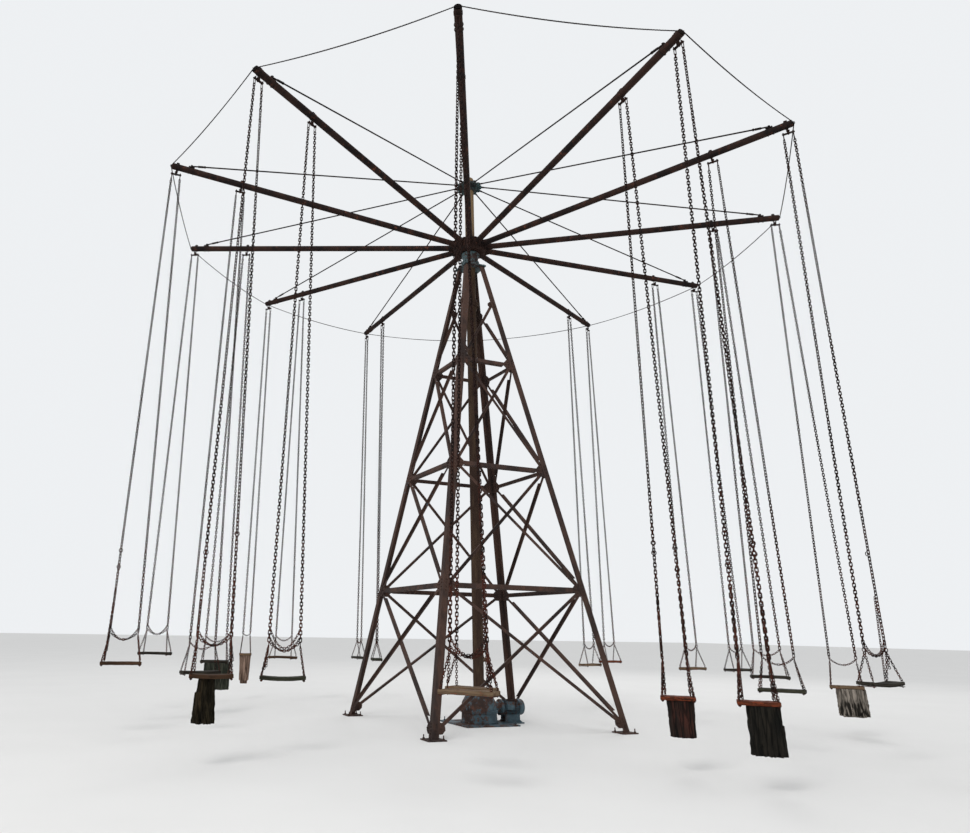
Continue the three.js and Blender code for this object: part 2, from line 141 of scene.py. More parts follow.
class Recipe:
    """One material and its node tree."""

    def __init__(self, name):
        self.material = bpy.data.materials.new(name)
        self.material.use_nodes = True
        self.tree = self.material.node_tree
        self.shader = self.tree.nodes["Principled BSDF"]

    def feed(self, socket, value):
        if isinstance(value, Value):
            self.tree.links.new(value.socket, socket)
        else:
            socket.default_value = value

    def node(self, kind, settings, inputs, output=0):
        made = self.tree.nodes.new(kind)
        for key, value in settings.items():
            setattr(made, key, value)
        for key, value in inputs.items():
            self.feed(made.inputs[key], value)
        return Value(self, made.outputs[output])

    def place(self, stretch=(1, 1, 1), shift=(0, 0, 0), attribute=None):
        if attribute:
            start = self.node("ShaderNodeAttribute", {"attribute_name": attribute}, {}, "Vector")
        else:
            start = self.node("ShaderNodeTexCoord", {}, {}, "Object")
        return self.node("ShaderNodeMapping", {}, {"Vector": start, "Scale": stretch, "Location": shift})

    def height(self):
        place = self.node("ShaderNodeTexCoord", {}, {}, "Object")
        return self.node("ShaderNodeSeparateXYZ", {}, {"Vector": place}, "Z")

    def attribute(self, name):
        return self.node("ShaderNodeAttribute", {"attribute_name": name}, {}, "Fac")

    def noise(self, place, scale, detail=4, roughness=0.55):
        inputs = {"Vector": place, "Scale": scale, "Detail": detail, "Roughness": roughness}
        return self.node("ShaderNodeTexNoise", {}, inputs, "Fac")

    def cells(self, place, scale, feature="F1"):
        inputs = {"Vector": place, "Scale": scale}
        return self.node("ShaderNodeTexVoronoi", {"feature": feature}, inputs, "Distance")

    def band(self, value, low, high):
        """0 below low, 1 above high, smooth between."""
        settings = {"interpolation_type": "SMOOTHSTEP", "clamp": True}
        return self.node("ShaderNodeMapRange", settings, {"Value": value, "From Min": low, "From Max": high})

    def blend(self, mask, first, second):
        """Colour first where mask is 0, second where it is 1."""
        made = self.tree.nodes.new("ShaderNodeMix")
        made.data_type = "RGBA"
        self.feed(made.inputs["Factor"], mask)
        for socket, color in ((MIX_FIRST, first), (MIX_SECOND, second)):
            self.feed(made.inputs[socket], color if isinstance(color, Value) else (*color, 1))
        return Value(self, made.outputs[MIX_RESULT])

    def finish(self, color, roughness, metallic, height, depth, gloss=DULL):
        """Colours the surface and bumps it by height, in metres of depth."""
        self.shader.inputs["Specular IOR Level"].default_value = gloss
        self.feed(self.shader.inputs["Base Color"], color)
        self.feed(self.shader.inputs["Roughness"], roughness)
        self.feed(self.shader.inputs["Metallic"], metallic)
        bump = self.node("ShaderNodeBump", {}, {"Height": height, "Distance": depth, "Strength": 1.0})
        self.feed(self.shader.inputs["Normal"], bump)
        return self.material


print("recipes ready")

# %% [markdown]
# Old rust has three scales: broad fields where the steel stayed dark, patches of fresher orange
# the size of a hand, and a grain as fine as sand that takes the light. One recipe with those
# three layers serves every steel piece, and only its colours, traces of paint and a darkening
# with height change; on the chains that darkening is painted shade. Noise on object coordinates
# wraps round bars and pipes without a seam.

# %% Rust
DARK_RUST = (0.030, 0.018, 0.015)
BROWN_RUST = (0.090, 0.042, 0.028)
RED_RUST = (0.155, 0.052, 0.030)
GRAIN_SCALE, PIT_SCALE = 95, 120
RUST_DEPTH = 0.0012


def rust(name, dark, middle, bright, bright_share, paint=None, paint_share=0.0, patch=2.2, run=1.0,
         darker=None):
    """Rusted steel. paint_share is the part that keeps its paint, a run under 1 draws streaks down,
    and darker gives two heights: the colour darkens from the first to the second and past it.
    On the chains this darkening is painted shade."""
    recipe = Recipe(name)
    place = recipe.place()
    streaked = recipe.place((1, 1, run))
    fields = recipe.noise(streaked, patch, 6, 0.6)
    hands = recipe.noise(streaked, patch * 6, 5, 0.65)
    grain = recipe.noise(place, GRAIN_SCALE, 3, 0.7)
    pits = recipe.cells(place, PIT_SCALE)
    color = recipe.blend(recipe.band(fields + (hands - 0.5) * 0.5, 0.35, 0.62), dark, middle)
    patches = recipe.band(hands + (grain - 0.5) * 0.3, 0.98 - bright_share * 0.8, 1.12 - bright_share * 0.8)
    color = recipe.blend(patches * 0.8, color, bright)
    color = recipe.blend(recipe.band(grain, 0.42, 0.78) * 0.35, color, dark)
    if darker:
        color = recipe.blend(recipe.band(recipe.height(), *darker) * 0.8, color, dark)
    roughness = 0.78 + grain * 0.16
    height = grain * 0.5 + pits * 0.3 + hands * 0.8
    if paint:
        flakes = recipe.noise(place, patch * 9, 8, 0.75)
        kept = recipe.band(fields * 0.6 + flakes * 0.5 + grain * 0.06, 1.06 - paint_share, 1.10 - paint_share)
        faded = recipe.blend(recipe.band(hands, 0.4, 0.7), paint, tuple(c * 1.5 + 0.01 for c in paint))
        color = recipe.blend(kept, color, faded)
        roughness = roughness - kept * 0.28
        height = height * (1 - kept * 0.8) + kept * 1.2
    return recipe.finish(color, roughness, 0.0, height, RUST_DEPTH, PAINTED if paint else DULL)


rust_pipe = rust("rust_pipe", (0.012, 0.009, 0.009), (0.034, 0.018, 0.014), (0.170, 0.055, 0.030), 0.49)
rust_hub = rust("rust_hub", (0.016, 0.012, 0.012), (0.050, 0.026, 0.020), (0.130, 0.045, 0.028), 0.48,
                patch=4)
rust_stay = rust("rust_stay", (0.012, 0.010, 0.010), (0.026, 0.019, 0.017), (0.065, 0.032, 0.022), 0.35)
rust_tower = rust("rust_tower", (0.024, 0.015, 0.013), (0.066, 0.034, 0.024), (0.130, 0.048, 0.028), 0.45,
                  (0.045, 0.085, 0.115), 0.36, run=0.35)
# The chains darken from 1.2 m to 3.6 m up: painted shade on the higher chains.
rust_chain = rust("rust_chain", (0.012, 0.008, 0.007), (0.080, 0.026, 0.017), (0.190, 0.060, 0.032), 0.5,
                  patch=7, darker=(1.2, 3.6))
rust_mast = rust("rust_mast", (0.036, 0.021, 0.016), (0.195, 0.130, 0.070), (0.32, 0.235, 0.135), 0.5,
                 run=0.18, darker=(8.1, 7.3))
teal_paint = rust("teal_paint", DARK_RUST, BROWN_RUST, RED_RUST, 0.4, (0.042, 0.070, 0.076), 0.56)
drive_paint = rust("drive_paint", DARK_RUST, BROWN_RUST, RED_RUST, 0.5, (0.036, 0.064, 0.080), 0.50)
dark_teal = rust("dark_teal", (0.018, 0.020, 0.020), (0.030, 0.036, 0.036), BROWN_RUST, 0.3,
                 (0.018, 0.05, 0.052), 0.5)
print("materials", len(bpy.data.materials))

# %% [markdown]
# Wood that has hung outdoors for decades turns grey, splits along its grain and keeps flakes of
# paint in the hollows. Grain has to run along each board whichever way the board hangs, so the
# boards carry their own coordinates in an attribute.

# %% Board wood
WOOD_DEPTH = 0.0022
# The colour of the painted shade inside the wood's splits.
SPLIT_SHADE = (0.012, 0.009, 0.007)
BOARD_WOODS = {
    "wood_tan": ((0.060, 0.037, 0.022), (0.185, 0.126, 0.078), (0.19, 0.058, 0.028), 0.42),
    "wood_red": ((0.036, 0.011, 0.006), (0.105, 0.032, 0.016), (0.155, 0.034, 0.014), 0.62),
    "wood_brown": ((0.022, 0.012, 0.007), (0.078, 0.042, 0.024), (0.10, 0.030, 0.014), 0.35),
    "wood_dark": ((0.011, 0.009, 0.007), (0.045, 0.040, 0.032), (0.08, 0.04, 0.026), 0.2),
    "wood_green": ((0.014, 0.015, 0.010), (0.046, 0.045, 0.030), (0.07, 0.068, 0.048), 0.25),
}


def board_wood(name, dark, light, paint, paint_share):
    """A weathered board. Its attribute "grain" holds metres along, across and up the board."""
    recipe = Recipe(name)
    fibres = recipe.noise(recipe.place((7, 160, 160), attribute="grain"), 1.0, 6, 0.65)
    rings = recipe.noise(recipe.place((2.5, 34, 34), attribute="grain"), 1.0, 4, 0.5)
    blotches = recipe.noise(recipe.place(attribute="grain"), 11, 5, 0.6)
    splits = recipe.band(recipe.noise(recipe.place((3, 90, 90), attribute="grain"), 1.0, 3, 0.5), 0.66, 0.71)
    color = recipe.blend(recipe.band(rings * 0.6 + fibres * 0.4, 0.36, 0.64), dark, light)
    color = recipe.blend(recipe.band(blotches, 0.52, 0.72) * 0.55, color, dark)
    flakes = recipe.noise(recipe.place((1, 3, 3), attribute="grain"), 22, 8, 0.7)
    kept = recipe.band(flakes + (blotches - 0.5) * 0.4, 0.80 - paint_share * 0.5, 0.84 - paint_share * 0.5)
    kept = kept * (1 - splits)
    color = recipe.blend(kept, color, paint)
    # The splits go nearly black: painted shade inside them.
    color = recipe.blend(splits * 0.9, color, SPLIT_SHADE)
    height = fibres * 0.4 + rings * 0.3 + kept * 0.35 - splits * 1.0
    return recipe.finish(color, 0.88 - kept * 0.2, 0.0, height, WOOD_DEPTH)


woods = {name: board_wood(name, *choice) for name, choice in BOARD_WOODS.items()}
print("board woods", len(woods))

# %% [markdown]
# A log hangs upright, so object coordinates stretched along Z do for its bark. The shape of the log
# has deep grooves of its own, and an attribute tells the material where they are, so that it
# paints shade into them.

# %% Bark
BARK_DEPTH = 0.007
LOG_BARKS = {
    "bark_black": ((0.006, 0.006, 0.005), (0.020, 0.017, 0.013), (0.070, 0.034, 0.021), 0.36),
    "bark_red": ((0.009, 0.008, 0.007), (0.026, 0.016, 0.013), (0.088, 0.028, 0.020), 0.38),
    "bark_grey": ((0.075, 0.066, 0.054), (0.300, 0.260, 0.220), (0.440, 0.370, 0.310), 0.36),
    "bark_pink": ((0.080, 0.052, 0.038), (0.310, 0.210, 0.160), (0.190, 0.105, 0.078), 0.25),
    "bark_green": ((0.014, 0.017, 0.012), (0.052, 0.056, 0.042), (0.034, 0.030, 0.022), 0.25),
    "bark_brown": ((0.009, 0.007, 0.004), (0.024, 0.019, 0.010), (0.034, 0.023, 0.012), 0.30),
}


def bark(name, dark, light, streak, streak_share):
    """The side of a log: upright ridges, deep cracks and a few long streaks of another colour."""
    recipe = Recipe(name)
    ridges = recipe.noise(recipe.place((26, 26, 4)), 1.0, 6, 0.65)
    plates = recipe.cells(recipe.place((24, 24, 1.7)), 1.0, "DISTANCE_TO_EDGE")
    streaks = recipe.noise(recipe.place((6, 6, 0.9), (3.1, 1.7, 0)), 1.0, 4, 0.6)
    grit = recipe.noise(recipe.place(), 140, 3, 0.6)
    color = recipe.blend(recipe.band(ridges, 0.34, 0.66), dark, light)
    runs = recipe.band(streaks + (ridges - 0.5) * 0.3, 0.68 - streak_share * 0.4, 0.86 - streak_share * 0.4)
    color = recipe.blend(runs * 0.85, color, streak)
    cracks = 1 - recipe.band(plates, 0.015, 0.10)
    # Painted shade in the cracks between the plates of bark.
    color = recipe.blend(cracks * 0.6, color, tuple(c * 0.35 for c in dark))
    # Painted shade in the deep grooves of the log's shape, read from the groove attribute.
    deep = recipe.band(recipe.attribute("groove"), 0.25, 0.9)
    color = recipe.blend(deep, color, tuple(c * 0.3 for c in dark))
    color = recipe.blend(recipe.band(grit, 0.5, 0.8) * 0.4, color, dark)
    height = ridges * 0.7 - cracks * 0.8 + grit * 0.12
    return recipe.finish(color, 0.92, 0.0, height, BARK_DEPTH)


barks = {name: bark(name, *choice) for name, choice in LOG_BARKS.items()}
print("barks", len(barks))

# %% [markdown]
# Every new piece starts from a few bmesh shapes. A frame on a line says where each one goes: its Z
# runs along the line, so a bar, a bolt or a chain link needs no angles of its own.

# %% Frames
UP = Vector((0, 0, 1))


def axes_frame(x_way, y_way, z_way):
    """A turn that points a frame's X, Y and Z the given ways."""
    return Matrix((x_way, y_way, z_way)).transposed().to_4x4()


def line_frame(start, end, side=UP):
    """A frame at the middle of a line, Z along it and X towards side, with the line's length."""
    start, end, side = Vector(start), Vector(end), Vector(side)
    along = (end - start).normalized()
    across = side - along * along.dot(side)
    if across.length < 1e-3:
        across = along.orthogonal()
    across.normalize()
    turn = axes_frame(across, along.cross(across), along)
    return Matrix.Translation((start + end) / 2) @ turn, (end - start).length


def moved(x, y, z):
    return Matrix.Translation((x, y, z))


def turned_by(degrees, axis):
    return Matrix.Rotation(math.radians(degrees), 4, axis)


print("a line of 3 by 4 is", round(line_frame((0, 0, 0), (3, 4, 0))[1], 3), "long")

# %% [markdown]
# Most steel here begins as a bar or a block. A block gets its bevel at once, because a knife edge
# never catches the light as worn steel does. A shape that repeats is closed into a small mesh and
# stamped wherever a frame puts it, which is much faster than making it anew.


# %% Bars, blocks and stamps
def add_bar(bm, start, end, radius, end_radius=None, *, sides):
    place, length = line_frame(start, end)
    end_radius = radius if end_radius is None else end_radius
    bmesh.ops.create_cone(bm, cap_ends=True, segments=sides, radius1=radius, radius2=end_radius,
                          depth=length, matrix=place)


def add_block(bm, size, place, edge):
    made = bmesh.ops.create_cube(bm, size=1, matrix=place @ Matrix.Diagonal((*size, 1)))["verts"]
    edges = list({e for v in made for e in v.link_edges})
    bmesh.ops.bevel(bm, geom=edges, offset=edge, segments=1, profile=0.5, affect="EDGES", material=-1)


def shape_mesh(bm, name):
    """Closes a small shape into a mesh, to be stamped wherever it is needed."""
    bmesh.ops.remove_doubles(bm, verts=bm.verts, dist=1e-5)
    bmesh.ops.recalc_face_normals(bm, faces=bm.faces)
    mesh = bpy.data.meshes.new(name)
    bm.to_mesh(mesh)
    bm.free()
    return mesh


def stamp(bm, shape, place):
    copy = shape.copy()
    copy.transform(place)
    bm.from_mesh(copy)
    bpy.data.meshes.remove(copy)


print("stamps ready")

# %% [markdown]
# Round parts come off a lathe: half a section is drawn beside the Z axis and spun round it. Bent
# wire starts as a curve with a round bevel, which gives even tubes round any bend, and becomes a
# mesh before anything else happens to it.


# %% Lathe and wire
def lathe(profile, sides, name):
    """Spins (radius, height) points round Z into a closed shape."""
    bm = bmesh.new()
    made = [bm.verts.new((radius, 0, height)) for radius, height in profile]
    edges = [bm.edges.new(pair) for pair in zip(made, made[1:])]
    if profile[0][0] > 0:
        edges.append(bm.edges.new((made[-1], made[0])))
    bmesh.ops.spin(bm, geom=made + edges, cent=(0, 0, 0), axis=(0, 0, 1), angle=2 * math.pi, steps=sides,
                   use_merge=True)
    return shape_mesh(bm, name)


def wire(points, radius, closed=False, fineness=1):
    """A round wire through the points, from a bevelled curve."""
    curve = bpy.data.curves.new("wire", "CURVE")
    curve.dimensions = "3D"
    curve.bevel_depth = radius
    curve.bevel_resolution = fineness
    curve.use_fill_caps = not closed
    spline = curve.splines.new("POLY")
    spline.points.add(len(points) - 1)
    for point, place in zip(spline.points, points):
        point.co = (*place, 1)
    spline.use_cyclic_u = closed
    holder = bpy.data.objects.new("wire", curve)
    bm = bmesh.new()
    raw = bpy.data.meshes.new_from_object(holder)
    bm.from_mesh(raw)
    bpy.data.meshes.remove(raw)
    bpy.data.objects.remove(holder)
    bpy.data.curves.remove(curve)
    return shape_mesh(bm, "wire")


print("lathe and wire ready")

# %% [markdown]
# A finished piece is shaded smooth and keeps a sharp edge wherever two faces meet at more than the
# given angle. It is also parented to the body that it rides on, and the imported nodes that it is
# shown in place of are hidden.


# %% Finishing a piece
def finish_piece(bm, name, material, body, replaced, sharp):
    """Turns a mesh in the making into a shown piece that rides on its body."""
    bmesh.ops.recalc_face_normals(bm, faces=bm.faces)
    mesh = bpy.data.meshes.new(name)
    bm.to_mesh(mesh)
    bm.free()
    mesh.shade_smooth()
    mesh.set_sharp_from_angle(angle=math.radians(sharp))
    mesh.materials.append(material)
    piece = bpy.data.objects.new(name, mesh)
    bpy.context.collection.objects.link(piece)
    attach(piece, body)
    if replaced:
        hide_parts(*replaced)


print("finishing ready")

# %% [markdown]
# Small hardware is made once and stamped: a hexagon bolt with its washer, and a ring of round
# wire. A bolt's underside lies at Z = 0, so a frame on the surface with Z outwards places it.

# %% Hardware
BEAD_STEPS = 28


def make_bolt(size):
    bm = bmesh.new()
    add_bar(bm, (0, 0, 0), (0, 0, size * 0.22), size * 1.15, sides=12)
    add_bar(bm, (0, 0, size * 0.22), (0, 0, size * 0.9), size * 0.92, size * 0.86, sides=6)
    add_bar(bm, (0, 0, size * 0.9), (0, 0, size * 1.25), size * 0.45, size * 0.40, sides=8)
    return shape_mesh(bm, "bolt")


def make_ring(radius, thickness, steps, fineness):
    points = [(radius * math.cos(2 * math.pi * i / steps), radius * math.sin(2 * math.pi * i / steps), 0)
              for i in range(steps)]
    return wire(points, thickness, closed=True, fineness=fineness)


def weld_bead(bm, radius, place, size, seed):
    """An uneven bead of weld round a pipe, in the frame's XY plane."""
    chance = random.Random(seed)
    points = []
    for i in range(BEAD_STEPS):
        out = radius + chance.uniform(-0.3, 0.5) * size
        angle = 2 * math.pi * i / BEAD_STEPS
        points.append((out * math.cos(angle), out * math.sin(angle), chance.uniform(-0.3, 0.3) * size))
    stamp(bm, wire(points, size, closed=True, fineness=0), place)


bolt = make_bolt(0.012)
big_bolt = make_bolt(0.018)
small_bolt = make_bolt(0.008)
split_ring = make_ring(0.024, 0.005, 16, 1)
print("bolt faces", len(bolt.polygons))

# %% [markdown]
# A chain link is a round wire bent into an oval. A small circle spun into a ring of eight
# segments, with its halves then pulled apart, gives that with 32 faces, which matters because
# the ride hangs on some ten thousand of them. The small links make do with six segments. The oval
# is wide enough inside for its neighbours' wire, and the pull leaves them just touching at its
# ends. Each next link is turned a quarter, and old chain also carries a slow twist.

# %% Chain
LINK_PITCH, SMALL_PITCH = 0.040, 0.027
CURVE_STEPS = 200
TWIST, TWIST_RATE = 14, 0.06       # degrees either way, and radians a link
LOOSE_TURN, LOOSE_LEAN = 7, 3      # degrees that each link strays
ANY_ANGLE = 6.3                    # radians, a little more than a full turn


def make_link(pitch, wire_radius, width, segments):
    bm = bmesh.new()
    first = 180 / segments
    bend = (width / 2 - wire_radius) / math.cos(math.radians(first))
    circle = bmesh.ops.create_circle(bm, segments=4, radius=wire_radius, matrix=moved(bend, 0, 0))["verts"]
    bmesh.ops.rotate(bm, verts=circle, cent=(0, 0, 0), matrix=turned_by(first, "Y"))
    bmesh.ops.spin(bm, geom=bm.verts[:] + bm.edges[:], cent=(0, 0, 0), axis=(0, 1, 0), angle=2 * math.pi,
                   steps=segments, use_merge=True)
    pull = pitch / 2 + 2 * wire_radius - max(v.co.z for v in bm.verts)
    for end in (1, -1):
        half = [v for v in bm.verts if v.co.z * end > 0]
        bmesh.ops.translate(bm, verts=half, vec=(0, 0, end * pull))
    return shape_mesh(bm, "link")


link = make_link(LINK_PITCH, 0.0065, 0.0415, 8)
small_link = make_link(SMALL_PITCH, 0.0044, 0.0280, 6)


def even_points(start, end, sag, pitch):
    """Points a pitch apart along a chain whose middle hangs sag below the line of its ends."""
    start, end = Vector(start), Vector(end)
    samples = []
    for i in range(CURVE_STEPS + 1):
        drop = sag * 4 * i / CURVE_STEPS * (1 - i / CURVE_STEPS)
        samples.append(start.lerp(end, i / CURVE_STEPS) - UP * drop)
    length = sum((b - a).length for a, b in zip(samples, samples[1:]))
    count = max(2, round(length / pitch))
    points, walked, wanted = [samples[0]], 0.0, length / count
    for a, b in zip(samples, samples[1:]):
        step = (b - a).length
        while walked + step >= wanted - 1e-9 and len(points) < count:
            points.append(a.lerp(b, (wanted - walked) / step))
            wanted += length / count
        walked += step
    return points + [samples[-1]]


def hang_chain(bm, shape, pitch, start, end, sag, chance):
    """Stamps a link between each two points of a chain, and says how many that makes."""
    side = Vector((math.cos(chance.uniform(0, ANY_ANGLE)), math.sin(chance.uniform(0, ANY_ANGLE)), 0))
    phase = chance.uniform(0, ANY_ANGLE)
    points = even_points(start, end, sag, pitch)
    for i, (low, high) in enumerate(zip(points, points[1:])):
        place, length = line_frame(low, high, side)
        drift = TWIST * math.sin(phase + i * TWIST_RATE)
        turn = turned_by(90 * (i % 2) + drift + chance.uniform(-LOOSE_TURN, LOOSE_TURN), "Z")
        lean = turned_by(chance.uniform(-LOOSE_LEAN, LOOSE_LEAN), "X")
        stamp(bm, shape, place @ turn @ lean @ Matrix.Diagonal((1, 1, length / pitch, 1)))
    return len(points) - 1


print("link faces", len(link.polygons), "and", len(small_link.polygons))

# %% [markdown]
# What a swing is made of, from the top: a pin through two cheeks sits in the arm's open hook, a
# short spreader bar hangs from it along the arm, and a long narrow shackle at each of its ends
# takes a chain. Near the seat each chain ends in a split ring, where two lighter chains leave for
# the board's corners and a safety chain crosses to the other side. Where the board is and how it
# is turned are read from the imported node, whose lowest four corners are the board's underside.

# %% Seats
BOARD_THICKNESS = 0.042
SPLIT_HEIGHT = 0.350
SPLIT_HALF, SPLIT_INSET = 0.180, 0.050
CORNER_INSET = 0.022
HANGER_HALF = 0.065
SPREADER_DROP = 0.040
PIN_RADIUS = 0.009
SAME_LEVEL = 1e-4

tilts = {joint["child"]: joint for joint in frame["joints"] if joint["name"].endswith("_tilt")}


def read_seat(name):
    """Where a swing's pin and board are, and how the board is turned."""
    points = [v.co.copy() for v in frame["nodes"][name].data.vertices]
    low = min(p.z for p in points)
    corners = sorted({(round(p.x, 5), round(p.y, 5)) for p in points if p.z < low + SAME_LEVEL})
    corners = [Vector((x, y, low)) for x, y in corners]
    by_distance = sorted(corners[1:], key=lambda p: (p - corners[0]).length)
    depth = (by_distance[0] - corners[0]).length
    width = (by_distance[1] - corners[0]).length
    heading = (by_distance[1] - corners[0]).normalized()
    pin = Vector(tilts[name]["pos_m"])
    outward = Vector((pin.x, pin.y, 0)).normalized()
    if heading.dot(outward) < 0:
        heading = -heading
    across = Vector((-heading.y, heading.x, 0))
    middle = Vector((pin.x, pin.y, low + BOARD_THICKNESS))
    split = min(SPLIT_HALF, width / 2 - SPLIT_INSET)
    return {"pin": pin, "outward": outward, "heading": heading, "across": across, "middle": middle,
            "width": width, "depth": depth, "split": split}


seat_names = [f"{ring}_swing_{k}" for ring in ("outer", "inner") for k in range(1, 13)]
seats = {name: read_seat(name) for name in seat_names}
print("seat widths", sorted({round(seat["width"], 3) for seat in seats.values()}))

# %% [markdown]
# The hanger's parts are small and repeat 24 times, so each is one shape. A cheek is two short
# cylinders and a block between them, the shackle is a bent wire, and an eye bolt is a ring of wire
# on a thin bar with its nut and washer.

# %% Hanger shapes
CHEEK_HALF, CHEEK_THICKNESS = 0.013, 0.009
SHACKLE_HALF, SHACKLE_DROP, SHACKLE_RISE = 0.0165, 0.094, 0.014
SHACKLE_END = 0.086                # where the chain's first link starts, below the spreader


def make_cheek():
    """A plate with round ends that swings from the pin and carries the spreader."""
    bm = bmesh.new()
    half = CHEEK_THICKNESS / 2
    for z in (0.0, -SPREADER_DROP):
        add_bar(bm, (0, -half, z), (0, half, z), CHEEK_HALF, sides=20)
    add_block(bm, (2 * CHEEK_HALF, CHEEK_THICKNESS, SPREADER_DROP), moved(0, 0, -SPREADER_DROP / 2), 0.0012)
    return shape_mesh(bm, "cheek")


def make_shackle():
    """A long U that hangs from the spreader: its bend holds the chain's first link."""
    half, bend = SHACKLE_HALF, -SHACKLE_DROP + SHACKLE_HALF
    points = [(0, -half, SHACKLE_RISE), (0, -half, bend)]
    points += [(0, -half * math.cos(a), bend - half * math.sin(a))
               for a in (math.pi * i / 8 for i in range(1, 8))]
    points += [(0, half, bend), (0, half, SHACKLE_RISE)]
    bm = bmesh.new()
    stamp(bm, wire(points, 0.0055), Matrix())
    for side in (-half, half):
        add_bar(bm, (0, side, 0.008), (0, side, 0.017), 0.0095, sides=6)
    return shape_mesh(bm, "shackle")


def make_eye():
    """An eye bolt through the board's corner, with its nut and washer underneath."""
    bm = bmesh.new()
    stamp(bm, make_ring(0.011, 0.0035, 12, 0), moved(0, 0, 0.015) @ turned_by(90, "X"))
    add_bar(bm, (0, 0, -BOARD_THICKNESS - 0.016), (0, 0, 0.005), 0.004, sides=8)
    add_bar(bm, (0, 0, -BOARD_THICKNESS - 0.010), (0, 0, -BOARD_THICKNESS - 0.006), 0.010, sides=6)
    add_bar(bm, (0, 0, 0.0), (0, 0, 0.002), 0.012, sides=12)
    return shape_mesh(bm, "eye")


cheek, shackle, eye = make_cheek(), make_shackle(), make_eye()
print("hanger faces", len(cheek.polygons), len(shackle.polygons), len(eye.polygons))

# %% [markdown]
# Each swing has a hanger of its own: the pin with its two nuts, the cheeks on it, and the
# spreader with a shackle at each end. The swing's outward way turns the whole of it along its arm.

# %% Hanger
CHEEK_SPACING = 0.017
SPREADER_OVERHANG, SPREADER_WIDTH, SPREADER_THICKNESS = 0.017, 0.038, 0.016


def add_hanger(bm, seat):
    outward = seat["outward"]
    turn = axes_frame(outward, Vector((-outward.y, outward.x, 0)), UP)
    hanger = bmesh.new()
    add_bar(hanger, (0, -0.024, 0), (0, 0.024, 0), PIN_RADIUS, sides=16)
    add_bar(hanger, (0, -0.031, 0), (0, -0.0215, 0), 0.015, sides=6)
    add_bar(hanger, (0, 0.0215, 0), (0, 0.030, 0), 0.015, sides=6)
    for side in (-1, 1):
        stamp(hanger, cheek, moved(0, side * CHEEK_SPACING, 0))
    spreader = (2 * (HANGER_HALF + SPREADER_OVERHANG), SPREADER_WIDTH, SPREADER_THICKNESS)
    add_block(hanger, spreader, moved(0, 0, -SPREADER_DROP), 0.004)
    for end in (-1, 1):
        stamp(hanger, shackle, moved(end * HANGER_HALF, 0, -SPREADER_DROP))
    stamp(bm, shape_mesh(hanger, "hanger"), Matrix.Translation(seat["pin"]) @ turn)


print("spreader", round(2 * (HANGER_HALF + SPREADER_OVERHANG), 3), "m")

# %% [markdown]
# Each side of a swing is a long chain down to a split ring and two short ones on to the board's
# corners. A spare chain starts from a ring of its own beside the long chain, and ends on the board.

# %% Sides of a swing
RING_HOLD = 0.022                  # from a split ring's middle to the chain that it holds
SPARE_BESIDE, SPARE_SAG = 0.022, 0.006
SPARE_START = 0.35, 0.80           # how far above the split ring a spare chain may start
SPARE_INSET, SPARE_RISE = 0.030, 0.012


def side_ends(seat, end):
    """Where one side's long chain leaves the spreader, and its split ring."""
    top = seat["pin"] + seat["outward"] * end * HANGER_HALF - UP * SPREADER_DROP
    return top, seat["middle"] + seat["heading"] * end * seat["split"] + UP * SPLIT_HEIGHT


def board_corner(seat, end, edge):
    return (seat["middle"] + seat["heading"] * end * (seat["width"] / 2 - CORNER_INSET)
            + seat["across"] * edge * (seat["depth"] / 2 - CORNER_INSET))


def add_side(bm, seat, end, chance):
    """One side of a swing: the long chain, its split ring and the two short chains."""
    top, ring = side_ends(seat, end)
    way = (ring - top).normalized()
    count = hang_chain(bm, link, LINK_PITCH, top + way * SHACKLE_END, ring - way * RING_HOLD, 0, chance)
    upright = line_frame(ring - way * 0.02, ring + way * 0.02, seat["across"])[0]
    stamp(bm, split_ring, upright @ turned_by(90, "X"))
    for edge in (-1, 1):
        corner = board_corner(seat, end, edge)
        stamp(bm, eye, Matrix.Translation(corner) @ turned_by(chance.uniform(0, 180), "Z"))
        hang_chain(bm, small_link, SMALL_PITCH, ring - UP * RING_HOLD, corner + UP * RING_HOLD, 0.004, chance)
    return count, ring


def add_spare_chain(bm, seat, end, edge, chance):
    """A spare chain from a ring high on the long chain down to a corner of the board."""
    top, ring = side_ends(seat, end)
    away = (top - ring).normalized()
    beside = seat["across"] * edge * SPARE_BESIDE
    start = ring + away * chance.uniform(*SPARE_START) + beside
    stamp(bm, split_ring, line_frame(start, start + away, seat["heading"])[0] @ turned_by(90, "X"))
    stop = board_corner(seat, end, edge) - seat["heading"] * end * SPARE_INSET + UP * SPARE_RISE
    hang_chain(bm, small_link, SMALL_PITCH, start, stop, SPARE_SAG, chance)


print("split rings", SPLIT_HEIGHT, "m above the boards")

# %% [markdown]
# The photograph shows which swings have extra safety chains, which have none, which have loose ends
# hanging, and which have spare chains bundled beside the long ones. Three small tables say so, and
# every other swing has one safety chain. All the steel of one swing becomes a single piece, which
# rides on that swing's body.

# %% Swing steelwork
SAFETY_RISE, SAFETY_STEP = 0.018, (0.05, 0.09)
SAFETY_SAG, SAG_STEP, MOST_SAG = 0.09, 0.07, 0.30
LOOSE_ASIDE, LOOSE_STEP, LOOSE_LENGTH = 0.012, 0.022, (0.20, 0.30)
BATTEN_WIDTH, BATTEN_THICKNESS = 0.030, 0.006
SAFETY_CHAINS = {"outer_swing_1": 2, "outer_swing_3": 2, "outer_swing_10": 2, "outer_swing_11": 2,
                 "outer_swing_12": 2, "inner_swing_12": 3, "outer_swing_2": 0, "inner_swing_2": 0}
LOOSE_ENDS = {"outer_swing_1": (1, 1), "outer_swing_3": (1,), "inner_swing_12": (1, 1),
              "outer_swing_11": (1, -1), "outer_swing_12": (-1, -1)}
SPARE_CHAINS = {"outer_swing_2": (-1, -1, 1, 1), "inner_swing_2": (-1, -1, 1, 1),
                "outer_swing_3": (1,), "outer_swing_11": (1, 1), "outer_swing_12": (-1, 1)}


